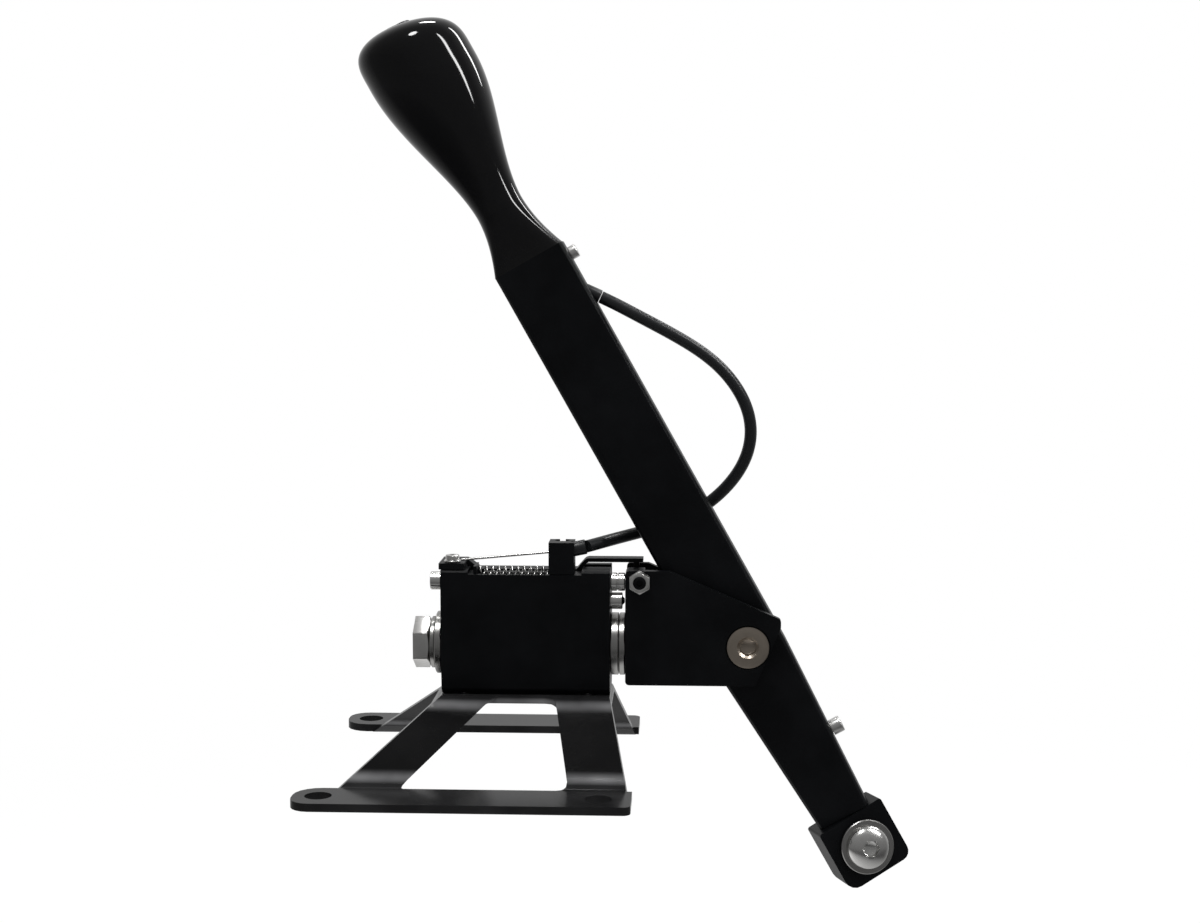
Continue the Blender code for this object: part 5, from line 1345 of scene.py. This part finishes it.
# The cable's way from the post, behind the lever, to the lever's front face, as its solid has it
CABLE_ROUTE = [
    (0.0600, 0.0085, 0.0934),
    (0.0672, 0.0124, 0.0948),
    (0.0780, 0.0131, 0.0977),
    (0.0880, 0.0131, 0.1020),
    (0.0963, 0.0124, 0.1076),
    (0.1030, 0.0108, 0.1140),
    (0.1082, 0.0090, 0.1211),
    (0.1115, 0.0072, 0.1286),
    (0.1127, 0.0055, 0.1366),
    (0.1116, 0.0040, 0.1448),
    (0.1079, 0.0028, 0.1532),
    (0.1017, 0.0019, 0.1616),
    (0.0943, 0.0012, 0.1682),
    (0.0854, 0.0006, 0.1740),
    (0.0751, 0.0002, 0.1797),
    (0.0655, 0.0000, 0.1847),
]
CABLE_MEET = Vector(CABLE_ROUTE[2])
CABLE_RISE = math.radians(12.0)
CABLE_DROP = math.radians(24.0)
CABLE_STANDOFF = 0.0040
CABLE_STRAIGHT = 0.0055
CABLE_SPACING = 0.0012
CABLE_EXIT = 0.1544

# The ferrules: where the post's one is seated, their lengths and radii, and the bore for the wire
POST_SEAT_IN = 0.0022
POST_SEAT_Y = -0.0075
POST_SEAT_Z = 0.0902
POST_FERRULE_LENGTH = 0.0070
POST_FERRULE_RADIUS = 0.0030
LEVER_FERRULE_IN = 0.0032
LEVER_FERRULE_RADIUS = 0.0027
FERRULE_BORE = 0.0012
FERRULE_EDGE = 0.0003
FERRULE_STEPS = 64


class Cable(bpy.types.Operator):
    """The black cable outer in two lengths that meet behind the lever, and its two ferrules"""

    bl_idname = "shifter.cable"
    bl_label = "Cable"

    def execute(self, context):
        post = Vector((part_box("cable_clamp")[1].x - POST_SEAT_IN, POST_SEAT_Y, POST_SEAT_Z))
        ahead = Vector((math.cos(CABLE_RISE), 0, math.sin(CABLE_RISE)))
        out = Vector((math.cos(CABLE_DROP), 0, -math.sin(CABLE_DROP)))
        mouth = LEVER_PLACE @ Vector((sizes().lever_front, 0, CABLE_EXIT))
        start = post + ahead * (POST_FERRULE_LENGTH + RUNNING_GAP)
        end = mouth + out * CABLE_STANDOFF
        route = smooth_route([start, *CABLE_ROUTE, end + out * CABLE_STRAIGHT, end], CABLE_SPACING)
        split = min(range(len(route)), key=lambda i: (route[i] - CABLE_MEET).length)
        lower = drawn_line(route[: split + 1], sizes().cable_radius)
        upper = drawn_line(route[split:], sizes().cable_radius)
        for piece, name, bodies, first, last in (
            (lower, "cable_outer_lower", ("base", "yoke"), (0.0480, 0, 0), (0.0720, 0, 0)),
            (upper, "cable_outer_upper", ("yoke", "lever"), (0, 0, 0.1000), (0, 0, 0.1560)),
        ):
            paint(piece, name, cable_plastic())
            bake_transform(piece)
            slot_of("cable_outer")
        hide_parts("cable_outer")
        self.ferrule("cable_ferrule", "post_ferrule", post, ahead, POST_FERRULE_LENGTH, POST_FERRULE_RADIUS)
        inside = mouth - out * LEVER_FERRULE_IN
        reach = LEVER_FERRULE_IN + CABLE_STANDOFF - RUNNING_GAP
        self.ferrule("lever_ferrule", "lever_cable_ferrule", inside, out, reach, LEVER_FERRULE_RADIUS)
        return {"FINISHED"}

    def ferrule(self, node, name, start, ahead, reach, radius):
        """The black end cap that the cable's outer is pressed into."""
        profile = [
            (FERRULE_BORE, 0), (FERRULE_BORE, reach), (radius - FERRULE_EDGE, reach),
            (radius - FERRULE_EDGE / 3, reach - FERRULE_EDGE / 3), (radius, reach - FERRULE_EDGE),
            (radius, FERRULE_EDGE), (radius - FERRULE_EDGE, 0),
        ]
        piece = rest(spun(profile, FERRULE_STEPS, closed=True), along(start, start + ahead))
        smooth(piece)
        dress(piece, name, cable_plastic(), node)


LATCH_TURNS = 11
BUTTON_TURNS = 5
BUTTON_SPRING_RADIUS = 0.0036
BUTTON_WIRE_RADIUS = 0.0004
COIL_STEPS = 36
WIRE_FINENESS = 3
WIRE_RADIUS = 0.0005
WIRE_SEAT = 0.0006


class LatchSprings(bpy.types.Operator):
    """The latch spring, the button's return spring and the wire"""

    bl_idname = "shifter.springs"
    bl_label = "Springs and wire"

    def execute(self, context):
        size = sizes()
        low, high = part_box("latch_spring")
        wire = size.spring_wire
        seat, reach = seat_of("latch_spring", AHEAD)
        reach -= 2 * wire
        line = self.coil(seat @ Matrix.Translation((0, 0, wire)), reach, size.spring_radius, LATCH_TURNS)
        spring = drawn_line(line, wire, WIRE_FINENESS)
        dress(spring, "latch_return_spring", plain_steel(), "latch_spring")
        (reach - PRESS) / reach
        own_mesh(spring)
        low, high = span_of("button_spring", LEVER_PLACE)
        reach = high - low - 2 * BUTTON_WIRE_RADIUS
        place = LEVER_PLACE @ Matrix.Translation((size.grip_axis, 0, low + BUTTON_WIRE_RADIUS))
        line = self.coil(place, reach, BUTTON_SPRING_RADIUS, BUTTON_TURNS)
        spring = drawn_line(line, BUTTON_WIRE_RADIUS, WIRE_FINENESS)
        dress(spring, "button_return_spring", plain_steel(), "button_spring")
        (reach - PRESS) / reach
        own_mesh(spring)
        low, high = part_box("inner_wire")
        across = low.y + WIRE_SEAT
        ends = [Vector((low.x, across, low.z + WIRE_SEAT)), Vector((high.x, across, high.z - WIRE_SEAT))]
        dress(drawn_line(ends, WIRE_RADIUS, WIRE_FINENESS), "latch_pull_wire", plain_steel(), "inner_wire")
        return {"FINISHED"}

    def coil(self, place, reach, radius, turns):
        """A spring's line about the Z axis of a place."""
        points = []
        for k in range(COIL_STEPS * turns + 1):
            share = k / (COIL_STEPS * turns)
            angle = math.tau * turns * share
            points.append(place @ Vector((radius * math.cos(angle), radius * math.sin(angle), reach * share)))
        return points


class HiddenParts(bpy.types.Operator):
    """Bushes and the rocker's pin keep their solids and get their metal"""

    bl_idname = "shifter.hidden_parts"
    bl_label = "Bushes and pins"

    def execute(self, context):
        for node in ("shaft_bush_rear", "shaft_bush_front", "pivot_bush_near", "pivot_bush_far"):
            self.give(node, bush_bronze())
        self.give("rocker_pin", plain_steel())
        return {"FINISHED"}

    def give(self, node, finish):
        mesh = frame["nodes"][node].data
        mesh.materials.clear()
        mesh.materials.append(finish)


class ShifterPanel(bpy.types.Panel):
    """Lists every step that builds the shifter"""

    bl_idname = "VIEW3D_PT_shifter"
    bl_label = "Short shifter"
    bl_space_type = "VIEW_3D"
    bl_region_type = "UI"
    bl_category = "Shifter"

    def draw(self, context):
        for step in STEPS:
            self.layout.operator(step.bl_idname)
        for group in (context.scene.shifter_sizes, context.scene.shifter_colours):
            box = self.layout.box()
            for name in type(group).__annotations__:
                box.prop(group, name)


STEPS = (
    Stage, Cable, BaseBracket, BlackMachinedParts, Grip, ThumbButton, Washers, HexParts, PivotBolt,
    ClevisBolt, SmallScrews, GateStops, LatchSprings, HiddenParts,
)
CLASSES = (ShifterSizes, ShifterColours, *STEPS, ShifterPanel)


def register():
    for item in CLASSES:
        bpy.utils.register_class(item)
    bpy.types.Scene.shifter_sizes = bpy.props.PointerProperty(type=ShifterSizes)
    bpy.types.Scene.shifter_colours = bpy.props.PointerProperty(type=ShifterColours)


def unregister():
    del bpy.types.Scene.shifter_colours
    del bpy.types.Scene.shifter_sizes
    for item in reversed(CLASSES):
        bpy.utils.unregister_class(item)


def main():
    register()
    for step in STEPS:
        group, name = step.bl_idname.split(".")
        getattr(getattr(bpy.ops, group), name)()


if __name__ == "__main__":
    main()
